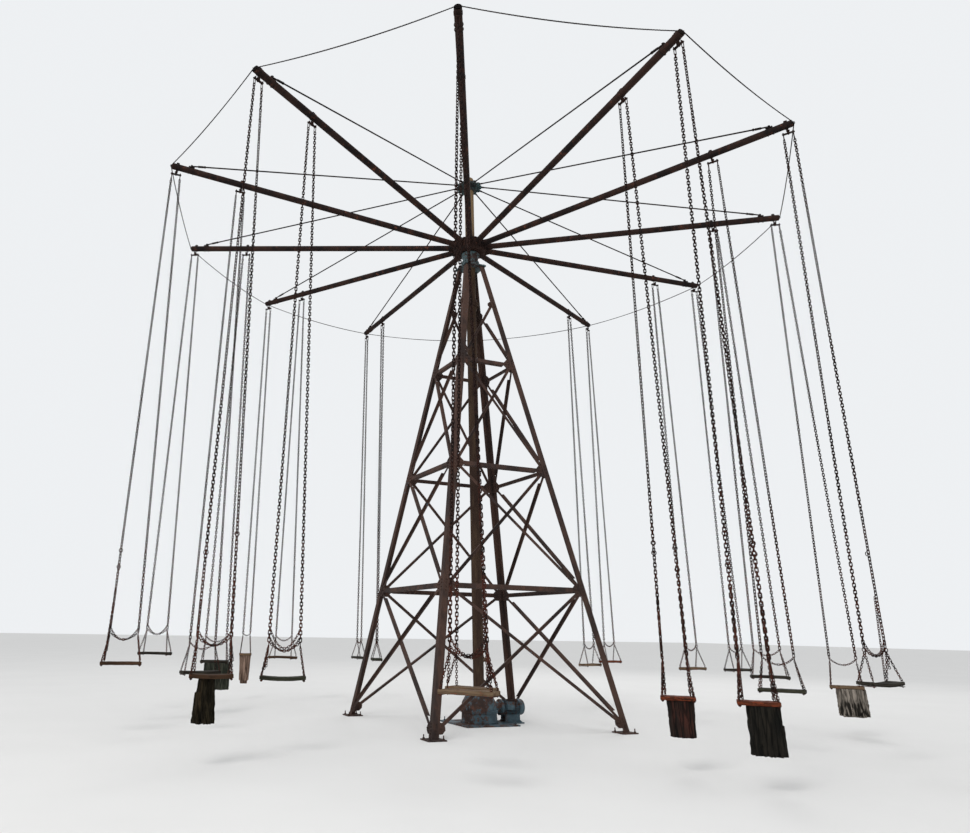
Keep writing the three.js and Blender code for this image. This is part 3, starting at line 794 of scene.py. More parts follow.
def add_safety_chain(bm, seat, left, right, extra, chance):
    """A chain from ring to ring. Each extra one starts higher and hangs deeper than the last."""
    rise = SAFETY_RISE + extra * chance.uniform(*SAFETY_STEP)
    sag = min(MOST_SAG, (SAFETY_SAG + SAG_STEP * extra) * seat["split"] / SPLIT_HALF)
    hang_chain(bm, small_link, SMALL_PITCH, left + UP * rise, right + UP * rise, sag, chance)


def add_batten(bm, seat, end):
    """The flat bar under the board that the two eye bolts of one side go through."""
    middle = (seat["middle"] + seat["heading"] * end * (seat["width"] / 2 - CORNER_INSET)
              - UP * (BOARD_THICKNESS + BATTEN_THICKNESS / 2))
    place = Matrix.Translation(middle) @ axes_frame(seat["heading"], seat["across"], UP)
    add_block(bm, (BATTEN_WIDTH, seat["depth"] - 0.004, BATTEN_THICKNESS), place, 0.0015)


def add_swing_steel(name):
    seat = seats[name]
    chance = random.Random(name)
    bm = bmesh.new()
    add_hanger(bm, seat)
    (count, left), (_, right) = [add_side(bm, seat, end, chance) for end in (-1, 1)]
    for extra in range(SAFETY_CHAINS.get(name, 1)):
        add_safety_chain(bm, seat, left, right, extra, chance)
    for tail, end in enumerate(LOOSE_ENDS.get(name, ())):
        ring = right if end > 0 else left
        aside = seat["heading"] * end * (LOOSE_ASIDE + LOOSE_STEP * tail)
        foot = ring + aside - UP * chance.uniform(*LOOSE_LENGTH)
        hang_chain(bm, small_link, SMALL_PITCH, ring - UP * 0.02, foot, 0, chance)
    for spare, end in enumerate(SPARE_CHAINS.get(name, ())):
        add_spare_chain(bm, seat, end, (-1) ** spare, chance)
    for end in (-1, 1):
        add_batten(bm, seat, end)
    finish_piece(bm, name.replace("swing", "chains"), rust_chain, name, [name], 50)
    return count


links = [add_swing_steel(name) for name in seat_names]
print("long chain links", min(links), "to", max(links), "a side")

# %% [markdown]
# The boards are planks about two fingers thick. Each starts as a block cut into many short
# lengths, and then moves: it cups across, bows along, and its edges and ends are nibbled by noise.
# Blender's noise vectors start from the clock unless a seed is set. One is set here, so that every
# run gives the same boards.

# %% Boards
BOARD_FINISH = {"outer_swing_1": "wood_tan", "outer_swing_2": "wood_red", "outer_swing_3": "wood_dark",
                "outer_swing_4": "wood_tan", "outer_swing_9": "wood_tan", "outer_swing_10": "wood_dark",
                "outer_swing_11": "wood_brown", "outer_swing_12": "wood_brown",
                "inner_swing_1": "wood_tan", "inner_swing_2": "wood_red", "inner_swing_10": "wood_dark",
                "inner_swing_11": "wood_dark", "inner_swing_12": "wood_green"}
BOARD_CHOICES = ["wood_brown", "wood_red", "wood_dark", "wood_green", "wood_tan"]
BOARD_BOW = {"outer_swing_3": 0.022, "inner_swing_12": 0.016, "outer_swing_12": 0.010}
LENGTH_CUTS, WIDTH_CUTS = 26, 7
MOST_BITE = 0.007                  # how deep the wear of an end or an edge may go
NOISE_SEED = 5
noise.seed_set(NOISE_SEED)


def random_shift(chance, low, high):
    """A place of its own in the noise, so that no two pieces wear alike."""
    return Vector([chance.uniform(low, high) for _ in range(3)])


def wear_board(bm, size, bow, chance):
    """Bows, cups and nibbles a plank that lies along X."""
    shift = random_shift(chance, -9, 9)
    for vert in bm.verts:
        along, across = vert.co.x / size[0] * 2, vert.co.y / size[1] * 2
        rough = noise.noise_vector(vert.co * 26 + shift) * 0.0018
        end_bite = noise.noise(Vector((0, vert.co.y * 55, vert.co.z * 40)) + shift) * MOST_BITE
        edge_bite = noise.noise(Vector((vert.co.x * 17, 3, 0)) + shift)
        rough.x += min(0, end_bite) * (1 if abs(along) > 0.95 else 0) * math.copysign(1, along)
        rough.y -= max(0, edge_bite) * MOST_BITE * (abs(across) > 0.8) * math.copysign(1, across)
        rough.z += bow * (along * along - 0.5) + 0.0015 * (across * across - 0.5)
        vert.co += rough


def add_plank(bm, size, place, bow, chance):
    plank = bmesh.new()
    bmesh.ops.create_cube(plank, size=1, matrix=Matrix.Diagonal((*size, 1)))
    for axis, cuts in ((0, LENGTH_CUTS), (1, WIDTH_CUTS)):
        across = [e for e in plank.edges
                  if abs((e.verts[0].co - e.verts[1].co)[axis]) > size[axis] * 0.9]
        bmesh.ops.subdivide_edges(plank, edges=across, cuts=cuts, use_grid_fill=True)
    rims = [e for e in plank.edges if e.calc_face_angle(0) > 1]
    bmesh.ops.bevel(plank, geom=rims, offset=0.005, segments=2, profile=0.5, affect="EDGES", material=-1)
    grain = plank.verts.layers.float_vector.new("grain")
    shift = random_shift(chance, 0, 40)
    for vert in plank.verts:
        vert[grain] = vert.co + shift
    wear_board(plank, size, bow, chance)
    bmesh.ops.transform(plank, matrix=place, verts=plank.verts)
    mesh = shape_mesh(plank, "plank")
    bm.from_mesh(mesh)
    bpy.data.meshes.remove(mesh)


def add_board(name):
    seat = seats[name]
    chance = random.Random(name + "board")
    turn = axes_frame(seat["heading"], seat["across"], UP)
    middle = Matrix.Translation(seat["middle"] - UP * BOARD_THICKNESS / 2) @ turn
    bm = bmesh.new()
    size = (seat["width"], seat["depth"], BOARD_THICKNESS - 0.004)
    add_plank(bm, size, middle, BOARD_BOW.get(name, chance.uniform(-0.004, 0.006)), chance)
    finish = woods[BOARD_FINISH.get(name, chance.choice(BOARD_CHOICES))]
    finish_piece(bm, name.replace("swing", "board"), finish, name, (), 55)


for name in seat_names:
    add_board(name)
print("boards", len(seat_names))

# %% [markdown]
# Six seats have a length of tree trunk under them. A trunk starts as a many-sided upright, is cut
# into short rings, and then noise stretched along it raises ridges of bark. The foot is ragged: its
# rim moves up and down and the cracks run in from it.

# %% Logs
LOG_FINISH = {
    "outer_log_2": {"bark": "bark_black", "ragged": 0.012, "notch": (0.35, 0.62), "grooves": 0.005,
                    "foot_grooves": 0.4},
    "inner_log_2": {"bark": "bark_red", "ragged": 0.008, "notch": None, "grooves": 0.004,
                    "foot_grooves": 0.3},
    "outer_log_4": {"bark": "bark_grey", "ragged": 0.030, "notch": None, "grooves": 0.006,
                    "foot_grooves": 2.6},
    "outer_log_9": {"bark": "bark_pink", "ragged": 0.006, "notch": None, "grooves": 0.004,
                    "foot_grooves": 0.5},
    "inner_log_10": {"bark": "bark_green", "ragged": 0.010, "notch": None, "grooves": 0.004,
                     "foot_grooves": 0.3},
    "outer_log_12": {"bark": "bark_brown", "ragged": 0.016, "notch": (0.0, 0.68), "grooves": 0.007,
                     "foot_grooves": 0.6},
}
NOTCH_REACH, NOTCH_WIDTH = 0.72, 0.86
STUB_LOG, STUB_SHARE, STUB_WIDTH = "outer_log_9", 0.10, 0.76
LOG_SIDES, LOG_RINGS = 72, 30
CAP_STEPS = (0.06, 0.34, 0.30)


def log_size(name, seat):
    """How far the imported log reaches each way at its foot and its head, and the two heights."""
    points = [v.co.copy() for v in frame["nodes"][name].data.vertices]
    top, foot = max(p.z for p in points), min(p.z for p in points)
    sizes = []
    for level in (foot, top):
        ring = [p for p in points if abs(p.z - level) < SAME_LEVEL]
        spans = []
        for way in (seat["heading"], seat["across"]):
            reach = [p.dot(way) for p in ring]
            spans.append((min(reach), max(reach)))
        sizes.append(spans)
    return sizes, foot, top


def log_blank():
    """A round upright of unit size, cut into rings up its side and inwards on its ends."""
    bm = bmesh.new()
    bmesh.ops.create_cone(bm, cap_ends=True, segments=LOG_SIDES, radius1=1, radius2=1, depth=1,
                          matrix=moved(0, 0, 0.5))
    uprights = [e for e in bm.edges if abs(e.verts[0].co.z - e.verts[1].co.z) > 0.5]
    bmesh.ops.subdivide_edges(bm, edges=uprights, cuts=LOG_RINGS)
    groove = bm.verts.layers.float.new("groove")
    caps = [f for f in bm.faces if abs(f.normal.z) > 0.9]
    for step in CAP_STEPS:
        bmesh.ops.inset_region(bm, faces=caps, thickness=step, use_even_offset=False)
    bmesh.ops.poke(bm, faces=caps)
    return bm, groove


def add_log(name, choice):
    swing = name.replace("log", "swing")
    seat = seats[swing]
    (foot_spans, head_spans), foot, top = log_size(name, seat)
    height = top - foot
    shift = random_shift(random.Random(name), -9, 9)
    bm, groove = log_blank()
    for vert in bm.verts:
        share = vert.co.z
        angle = math.atan2(vert.co.y, vert.co.x)
        out = math.hypot(vert.co.x, vert.co.y)
        spot = Vector((math.cos(angle) * 2.2, math.sin(angle) * 2.2, share * 0.7)) + shift
        ridge = abs(noise.noise(Vector((math.cos(angle) * 8, math.sin(angle) * 8, share * 2.2)) + shift))
        fine = noise.noise(Vector((math.cos(angle) * 22, math.sin(angle) * 22, share * 9)) + shift)
        spans = [(f[0] + (h[0] - f[0]) * share, f[1] + (h[1] - f[1]) * share)
                 for f, h in zip(foot_spans, head_spans)]
        radius = [(s[1] - s[0]) / 2 for s in spans]
        middle = [(s[0] + s[1]) / 2 for s in spans]
        deeper = 1 + choice["foot_grooves"] * (1 - share) ** 2
        # How much painted shade the bark material puts into this groove.
        vert[groove] = (ridge - 0.12) * 5 * (deeper - 1) if out > 0.9 else 0.0
        cut = choice["grooves"] * (ridge * 5 * deeper + 0.4 * fine) / radius[0]
        swell = 1 + 0.05 * noise.noise(spot) - cut
        swell = 1 + (swell - 1.03) * min(1, out * 1.2)
        if choice["notch"]:
            toward, above = choice["notch"]
            if share > above and math.cos(angle - toward) > NOTCH_REACH:
                swell *= NOTCH_WIDTH
        if name == STUB_LOG and share < STUB_SHARE:
            swell *= STUB_WIDTH
        x = middle[0] + math.cos(angle) * out * radius[0] * swell
        y = middle[1] + math.sin(angle) * out * radius[1] * swell
        ragged = choice["ragged"] * (1 - share) ** 6 * (0.3 + 1.7 * ridge + 0.5 * fine)
        z = foot + share * height + ragged * (0.3 + out)
        vert.co = seat["heading"] * x + seat["across"] * y + Vector((0, 0, z))
    finish_piece(bm, name.replace("log", "trunk"), barks[choice["bark"]], swing, [name], 60)


for name, choice in LOG_FINISH.items():
    add_log(name, choice)
print("logs", len(LOG_FINISH))

# %% [markdown]
# The turning part comes next. Its pieces are made with the arm along +X and are then turned about
# the mast, so one set of sizes serves all twelve arms. A plate with any outline starts as a single
# face, and extruding that face gives it its thickness.

# %% Arm sizes and plates
ARM_ANGLES = [-120 + 30 * k for k in range(12)]
HUB_HEIGHT, HUB_APOTHEM, HUB_HALF = 8.100, 0.270, 0.105
ARM_SLOPE = 0.055
ARM_ROOT, ARM_TIP = 0.2703, 5.400
ARM_RADIUS = 0.051
HANGER_REACHES = (5.328, 4.286)
FLANGE_THICKNESS = 0.014


def arm_height(reach):
    return HUB_HEIGHT + ARM_SLOPE * reach


def arc(x, y, radius, start, end, steps):
    """Points of an arc in a plane, its angles in degrees."""
    angles = [math.radians(start + (end - start) * i / steps) for i in range(steps + 1)]
    return [(x + radius * math.cos(a), y + radius * math.sin(a)) for a in angles]


def rounded(width, height, corner):
    """The outline of a plate with round corners."""
    x, y = width / 2 - corner, height / 2 - corner
    return (arc(x, y, corner, 0, 90, 3) + arc(-x, y, corner, 90, 180, 3)
            + arc(-x, -y, corner, 180, 270, 3) + arc(x, -y, corner, 270, 360, 3))


def add_plate(bm, outline, thickness, place, edge=0.0015):
    """A flat plate with its outline in the frame's XY plane and half its thickness either side."""
    plate = bmesh.new()
    face = plate.faces.new([plate.verts.new((x, y, -thickness / 2)) for x, y in outline])
    raised = bmesh.ops.extrude_face_region(plate, geom=[face])["geom"]
    bmesh.ops.translate(plate, verts=[g for g in raised if isinstance(g, bmesh.types.BMVert)],
                        vec=(0, 0, thickness))
    bmesh.ops.recalc_face_normals(plate, faces=plate.faces)
    rims = [e for e in plate.edges if abs(e.verts[0].co.z - e.verts[1].co.z) < 1e-6]
    bmesh.ops.bevel(plate, geom=rims, offset=edge, segments=1, profile=0.5, affect="EDGES", material=-1)
    stamp(bm, shape_mesh(plate, "plate"), place)


# Frames on an arm: a plate on edge along it, and a plate across it that faces outwards.
ON_EDGE = turned_by(90, "X")
FACING_OUT = axes_frame((0, 1, 0), (0, 0, 1), (1, 0, 0))

print("arm height at the tip", round(arm_height(ARM_TIP), 4))

# %% [markdown]
# An arm is a pipe welded to a flange. Spinning its half-section gives the wall and the sunk cap in
# its open end, which is what one sees from the ground. Noise of under a millimetre breaks the
# highlight along it.

# %% Pipe
PIPE_WALL, CAP_DEPTH = 0.006, 0.028
PIPE_STEPS, PIPE_WAVER = 48, 0.0009


def add_pipe(bm, chance):
    start = Vector((ARM_ROOT + FLANGE_THICKNESS / 2, 0, arm_height(ARM_ROOT)))
    end = Vector((ARM_TIP, 0, arm_height(ARM_TIP)))
    place, length = line_frame(start, end)
    shift = random_shift(chance, -9, 9)
    side = [(ARM_RADIUS, length * i / PIPE_STEPS) for i in range(PIPE_STEPS)]
    inner = ARM_RADIUS - PIPE_WALL
    tip = [(ARM_RADIUS, length - 0.0015), (ARM_RADIUS - 0.0015, length), (inner, length),
           (inner, length - CAP_DEPTH), (0, length - CAP_DEPTH)]
    pipe = lathe([(0, 0)] + side + tip, 32, "pipe")
    for vert in pipe.vertices:
        around = Vector((vert.co.x * 14, vert.co.y * 14, vert.co.z * 1.7)) + shift
        swell = PIPE_WAVER * noise.noise(around)
        if math.hypot(vert.co.x, vert.co.y) > inner + 0.002:
            vert.co.x *= 1 + swell / ARM_RADIUS
            vert.co.y *= 1 + swell / ARM_RADIUS
    stamp(bm, pipe, place @ moved(0, 0, -length / 2))


print("pipe", round(2 * ARM_RADIUS, 3), "m across")

# %% [markdown]
# Each swing hangs from an open hook, cut from plate and held by a clamp strap round the pipe. The
# strap's two ears stand up above the pipe, with two small bolts through each.

# %% Hooks and straps
HOOK_THICKNESS, HOOK_SEAT, HOOK_OUTER = 0.014, 0.0096, 0.0226
HANGER_DROP = 0.045
STRAP_WIDTH, STRAP_THICKNESS = 0.046, 0.005
EAR_SPACING, EAR_RISE, EAR_HEIGHT = 0.009, 0.014, 0.030


def add_hook(bm, reach):
    pin = arm_height(reach) - ARM_RADIUS - HANGER_DROP
    top = HANGER_DROP + ARM_RADIUS * 0.5
    outline = ([(-HOOK_OUTER, top), (-HOOK_OUTER, 0)] + arc(0, 0, HOOK_OUTER, 180, 360, 12)[1:]
               + [(HOOK_OUTER, HOOK_SEAT - 0.002), (HOOK_OUTER - 0.002, HOOK_SEAT), (HOOK_SEAT, HOOK_SEAT)]
               + arc(0, 0, HOOK_SEAT, 0, -180, 10) + [(-HOOK_SEAT, top)])
    add_plate(bm, outline, HOOK_THICKNESS, moved(reach, 0, pin) @ ON_EDGE)
    along = Vector((1, 0, ARM_SLOPE)).normalized()
    middle = Vector((reach - (HOOK_OUTER + HOOK_SEAT) / 2, 0, 0))
    middle.z = arm_height(middle.x)
    place = line_frame(middle - along * STRAP_WIDTH / 2, middle + along * STRAP_WIDTH / 2)[0]
    inner, outer = ARM_RADIUS - 0.002, ARM_RADIUS + STRAP_THICKNESS
    half, cut = STRAP_WIDTH / 2, 0.0015
    strap = lathe([(inner, -half), (outer - cut, -half), (outer, cut - half), (outer, half - cut),
                   (outer - cut, half), (inner, half)], 32, "strap")
    stamp(bm, strap, place)
    for side in (-1, 1):
        ear = Matrix.Translation(middle) @ moved(0, side * EAR_SPACING, ARM_RADIUS + EAR_RISE)
        add_plate(bm, rounded(STRAP_WIDTH, EAR_HEIGHT, 0.006), STRAP_THICKNESS, ear @ ON_EDGE)
        for way in (-1, 1):
            turn = turned_by(-90 * side, "X")
            stamp(bm, small_bolt, ear @ moved(way * 0.012, side * 0.0025, 0.002) @ turn)


print("hook", round(2 * HOOK_SEAT, 4), "m wide inside")

# %% [markdown]
# At its root an arm has a flange on four bolts, a rib above and below the pipe, and a bead of weld
# round it. Each arm is one piece, made along +X and then turned to its place.

# %% Arms
FLANGE_WIDTH, FLANGE_HEIGHT = 0.136, 0.190
FLANGE_BOLTS = (0.047, 0.076)
RIB_LENGTH, RIB_RISE, RIB_THICKNESS = 0.120, 0.088, 0.010


def add_root(bm, chance):
    out = ARM_ROOT + FLANGE_THICKNESS
    add_plate(bm, rounded(FLANGE_WIDTH, FLANGE_HEIGHT, 0.010), FLANGE_THICKNESS,
              moved(ARM_ROOT + FLANGE_THICKNESS / 2, 0, HUB_HEIGHT) @ FACING_OUT)
    aside, above = FLANGE_BOLTS
    for side in (-1, 1):
        for level in (-1, 1):
            stamp(bm, big_bolt, moved(out, side * aside, HUB_HEIGHT + level * above) @ FACING_OUT)
    for level in (-1, 1):
        foot = arm_height(out) + level * (ARM_RADIUS - 0.006) - HUB_HEIGHT
        height = level * RIB_RISE - foot
        end = foot + ARM_SLOPE * RIB_LENGTH
        outline = [(0, foot), (RIB_LENGTH, end), (RIB_LENGTH, end + level * 0.010),
                   (0.016, foot + height), (0, foot + height)]
        add_plate(bm, outline[::level], RIB_THICKNESS, moved(out - 0.002, 0, HUB_HEIGHT) @ ON_EDGE)
    weld_bead(bm, ARM_RADIUS + 0.001, moved(out + 0.001, 0, arm_height(out)) @ FACING_OUT, 0.005,
              chance.randrange(999))


for k, angle in enumerate(ARM_ANGLES, 1):
    chance = random.Random(k)
    bm = bmesh.new()
    add_pipe(bm, chance)
    add_root(bm, chance)
    for reach in HANGER_REACHES:
        add_hook(bm, reach)
    bmesh.ops.transform(bm, matrix=turned_by(angle, "Z"), verts=bm.verts)
    finish_piece(bm, f"pipe_arm_{k}", rust_pipe, "rotor", [f"arm_{k}"], 40)
print("arms", len(ARM_ANGLES))

# %% [markdown]
# The hub is a drum with twelve flats, one for each flange. A ring spun in twelve steps has those
# flats already. Ribs run from a sleeve round the mast out to the rim, on top and underneath.

# %% Hub
HUB_BORE, HUB_CHAMFER = 0.0875, 0.006
SLEEVE_RADIUS, SLEEVE_RISE, SLEEVE_BORE = 0.112, 0.046, 0.0845
RIB_END, HUB_BOLT_REACH = 0.262, 0.205


def make_hub():
    flat_to_corner = 1 / math.cos(math.pi / 12)
    rim = HUB_APOTHEM * flat_to_corner
    profile = [(HUB_BORE, -HUB_HALF), (rim - HUB_CHAMFER, -HUB_HALF), (rim, HUB_CHAMFER - HUB_HALF),
               (rim, HUB_HALF - HUB_CHAMFER), (rim - HUB_CHAMFER, HUB_HALF), (HUB_BORE, HUB_HALF)]
    bm = bmesh.new()
    stamp(bm, lathe(profile, 12, "drum"), moved(0, 0, HUB_HEIGHT) @ turned_by(15, "Z"))
    for level in (-1, 1):
        face = moved(0, 0, HUB_HEIGHT + level * HUB_HALF)
        sleeve = lathe([(SLEEVE_BORE, -0.004), (SLEEVE_RADIUS, -0.004),
                        (SLEEVE_RADIUS, SLEEVE_RISE - 0.004), (SLEEVE_RADIUS - 0.004, SLEEVE_RISE),
                        (SLEEVE_BORE, SLEEVE_RISE)], 48, "sleeve")
        stamp(bm, sleeve, face @ Matrix.Diagonal((1, 1, level, 1)))
        for angle in ARM_ANGLES:
            turn = face @ turned_by(angle, "Z") @ Matrix.Diagonal((1, 1, level, 1))
            outline = [(SLEEVE_RADIUS - 0.004, -0.003), (RIB_END, -0.003), (RIB_END, 0.008),
                       (SLEEVE_RADIUS - 0.004, SLEEVE_RISE - 0.008)]
            add_plate(bm, outline, RIB_THICKNESS, turn @ ON_EDGE)
            stamp(bm, bolt, turn @ turned_by(15, "Z") @ moved(HUB_BOLT_REACH, 0, 0))
    finish_piece(bm, "arm_hub", rust_hub, "rotor", ["hub"], 30)


make_hub()
print("hub ready")

# %% [markdown]
# The mast is one turned column: a bolted foot flange, a bolted coupling just under the arms and a
# rounded stub above the collar. Its rust runs downwards in streaks.

# %% Mast
MAST_RADIUS = 0.084
MAST_FOOT, MAST_TOP = 0.420, 9.570
COUPLING_HEIGHT, COUPLING_RADIUS, COUPLING_HALF = 6.950, 0.130, 0.035
MAST_WELD = 3.41


def make_mast():
    low, high = COUPLING_HEIGHT - COUPLING_HALF, COUPLING_HEIGHT + COUPLING_HALF
    edge, groove = COUPLING_RADIUS - 0.003, COUPLING_RADIUS - 0.006
    foot, head = MAST_FOOT + 0.085, high + 0.080
    profile = [(0, MAST_FOOT), (0.140, MAST_FOOT), (0.144, MAST_FOOT + 0.004), (0.144, MAST_FOOT + 0.021),
               (0.140, MAST_FOOT + 0.025), (0.100, MAST_FOOT + 0.025), (0.096, MAST_FOOT + 0.060),
               (MAST_RADIUS, foot)]
    profile += [(MAST_RADIUS, foot + (low - MAST_FOOT - 0.165) * i / 30) for i in range(1, 31)]
    profile += [(0.098, low - 0.060), (0.104, low), (edge, low), (COUPLING_RADIUS, low + 0.003),
                (COUPLING_RADIUS, COUPLING_HEIGHT - 0.004), (groove, COUPLING_HEIGHT - 0.002),
                (groove, COUPLING_HEIGHT + 0.002), (COUPLING_RADIUS, COUPLING_HEIGHT + 0.004),
                (COUPLING_RADIUS, high - 0.003), (edge, high), (0.104, high), (0.098, high + 0.060),
                (MAST_RADIUS, head)]
    stub = MAST_TOP - 0.030 - high - 0.080
    profile += [(MAST_RADIUS, head + stub * i / 12) for i in range(1, 13)]
    profile += [(0.081, MAST_TOP - 0.016), (0.072, MAST_TOP - 0.006), (0.050, MAST_TOP - 0.001),
                (0, MAST_TOP)]
    bm = bmesh.new()
    stamp(bm, lathe(profile, 48, "column"), Matrix())
    for turn in range(0, 360, 45):
        spin = turned_by(turn + 12, "Z")
        stamp(bm, big_bolt, spin @ moved(0.115, 0, high))
        stamp(bm, big_bolt, spin @ moved(0.115, 0, low) @ turned_by(180, "X"))
        stamp(bm, bolt, spin @ moved(0.121, 0, MAST_FOOT + 0.025))
    weld_bead(bm, MAST_RADIUS + 0.001, moved(0, 0, MAST_WELD), 0.004, 5)
    finish_piece(bm, "mast_column", rust_mast, "rotor", ["mast"], 40)


make_mast()
print("mast", MAST_FOOT, "to", MAST_TOP)

# %% [markdown]
# The collar is a thick disc on a barrel, with a round lug for each stay, which gives it the lumpy
# rim that one sees from below. All three are turned shapes with a small cut at their corners.

# %% Collar
COLLAR_HEIGHT, COLLAR_RADIUS = 9.379, 0.235
COLLAR_BORE = MAST_RADIUS + 0.0005
DISC_RADIUS, DISC_HALF = 0.206, 0.018
BARREL_RADIUS, BARREL_HALF = 0.118, 0.090
LUG_RADIUS, LUG_HALF = 0.037, 0.028


def turned_block(bore, radius, half, cut, sides):
    return lathe([(bore, -half), (radius - cut, -half), (radius, cut - half), (radius, half - cut),
                  (radius - cut, half), (bore, half)], sides, "turned block")


def make_collar():
    bm = bmesh.new()
    level = moved(0, 0, COLLAR_HEIGHT)
    stamp(bm, turned_block(COLLAR_BORE, DISC_RADIUS, DISC_HALF, 0.003, 48), level)
    stamp(bm, turned_block(COLLAR_BORE, BARREL_RADIUS, BARREL_HALF, 0.006, 48), level)
    lug = turned_block(0, LUG_RADIUS, LUG_HALF, 0.005, 20)
    for angle in ARM_ANGLES:
        turn = level @ turned_by(angle, "Z")
        stamp(bm, lug, turn @ moved(COLLAR_RADIUS - LUG_RADIUS, 0, 0))
        stamp(bm, bolt, turn @ moved(COLLAR_RADIUS - LUG_RADIUS, 0, LUG_HALF))
        stamp(bm, bolt, turn @ moved(COLLAR_RADIUS - LUG_RADIUS, 0, -LUG_HALF) @ turned_by(180, "X"))
        stamp(bm, small_bolt, turn @ turned_by(15, "Z") @ moved(BARREL_RADIUS, 0, 0.055) @ turned_by(90, "Y"))
    finish_piece(bm, "stay_collar", dark_teal, "rotor", [], 35)


make_collar()
print("collar at", COLLAR_HEIGHT, "m")

# %% [markdown]
# A rod leaves each lug of the collar and ends in an eye, pinned between two cheeks on a saddle that
# two U-bolts hold to the arm. A nut near the eye takes up the rod's length.

# %% Stays
STAY_REACH, STAY_RADIUS = 5.100, 0.012
STAY_PIN_RISE = 0.0363
U_BOLT_SPACING, U_BOLT_WIRE = 0.037, 0.0045


def add_saddle(bm):
    top = arm_height(STAY_REACH) + ARM_RADIUS
    slope = turned_by(-math.degrees(math.atan(ARM_SLOPE)), "Y")
    seat = moved(STAY_REACH, 0, top) @ slope
    add_block(bm, (0.096, 0.084, 0.008), seat @ moved(0, 0, 0.003), 0.002)
    cheek_outline = [(-0.030, 0.005), (0.030, 0.005)] + arc(0, STAY_PIN_RISE, 0.019, 0, 180, 8)
    for side in (-1, 1):
        add_plate(bm, cheek_outline, 0.007, seat @ moved(0, side * 0.0135, 0) @ ON_EDGE)
        stamp(bm, bolt, seat @ moved(0, side * 0.017, STAY_PIN_RISE) @ turned_by(-90 * side, "X"))
    u_bolt = make_ring(ARM_RADIUS + 0.005, U_BOLT_WIRE, 32, 1)
    for way in (-1, 1):
        stamp(bm, u_bolt, seat @ moved(way * U_BOLT_SPACING, 0, -ARM_RADIUS) @ turned_by(90, "Y"))
        for side in (-1, 1):
            stamp(bm, small_bolt, seat @ moved(way * U_BOLT_SPACING, side * 0.034, 0.007))


def make_stays():
    start = Vector((COLLAR_RADIUS - 0.020, 0, COLLAR_HEIGHT))
    end = Vector((STAY_REACH, 0, arm_height(STAY_REACH) + ARM_RADIUS + STAY_PIN_RISE))
    way = (end - start).normalized()
    one = bmesh.new()
    add_bar(one, start, end - way * 0.012, STAY_RADIUS * 0.97, sides=12)
    add_bar(one, start, start + way * 0.070, STAY_RADIUS * 1.5, STAY_RADIUS * 1.2, sides=12)
    add_bar(one, end - way * 0.190, end - way * 0.105, STAY_RADIUS * 1.45, sides=6)
    add_bar(one, end - way * 0.225, end - way * 0.200, STAY_RADIUS * 1.6, sides=6)
    add_bar(one, (end.x, -0.0095, end.z), (end.x, 0.0095, end.z), 0.017, sides=20)
    add_bar(one, end - way * 0.060, end - way * 0.010, STAY_RADIUS * 0.95, sides=12)
    add_bar(one, (end.x, -0.021, end.z), (end.x, 0.021, end.z), 0.008, sides=12)
    add_saddle(one)
    stay = shape_mesh(one, "stay")
    bm = bmesh.new()
    for angle in ARM_ANGLES:
        stamp(bm, stay, turned_by(angle, "Z"))
    finish_piece(bm, "stay_rods", rust_stay, "rotor", ["collar_and_stays"], 40)


make_stays()
print("stays", len(ARM_ANGLES))

# %% [markdown]
# The rim cable is a rope of three strands. Each strand is a helix round the rope's own line, which
# passes every arm's tip and hangs in a shallow curve between them. A bracket in the pipe's end and
# two small U-bolts hold it at each tip.

# %% Rim cable
ROPE_REACH, ROPE_SAG = 5.4195, 0.070
STRANDS, STRAND_RADIUS, STRAND_OFFSET = 3, 0.0046, 0.0043
LAY = 0.110                        # length of one full turn of a strand
SPAN_STEPS = 112
CLIP_HALF, CLIP_LEG, CLIP_WIRE, CLIP_SPACING = 0.0135, 0.040, 0.003, 0.013


def rope_line(share):
    """A point of the rope, and the way it runs; share counts spans round the ride."""
    span, part = int(share), share - int(share)
    ends = [math.radians(ARM_ANGLES[0] + 30 * (span + i)) for i in (0, 1)]
    start, end = [Vector((math.cos(a), math.sin(a), 0)) * ROPE_REACH for a in ends]
    point = start.lerp(end, part)
    point.z = arm_height(ARM_TIP) - ROPE_SAG * 4 * part * (1 - part)
    return point, (end - start).normalized()


def strand_points(strand, turns):
    """One strand's helix round the rope's line, with its turns in one lap of the ride."""
    total = SPAN_STEPS * len(ARM_ANGLES)
    points = []
    for i in range(total):
        point, way = rope_line(i / SPAN_STEPS)
        across = way.cross(UP)
        angle = 2 * math.pi * (i * turns / total + strand / STRANDS)
        offset = across * math.cos(angle) + UP * math.sin(angle)
        points.append(point + offset * STRAND_OFFSET)
    return points


def make_clip():
    """A U of wire with its bend outside the rope and its legs running in to the bracket."""
    half, bend = CLIP_HALF - CLIP_WIRE, 8
    angles = [math.pi * i / bend for i in range(1, bend)]
    outline = [(CLIP_LEG, half), (0.0, half)]
    outline += [(-half * math.sin(a), half * math.cos(a)) for a in angles]
    outline += [(0.0, -half), (CLIP_LEG, -half)]
    return wire([(-x, 0, z) for x, z in outline], CLIP_WIRE)


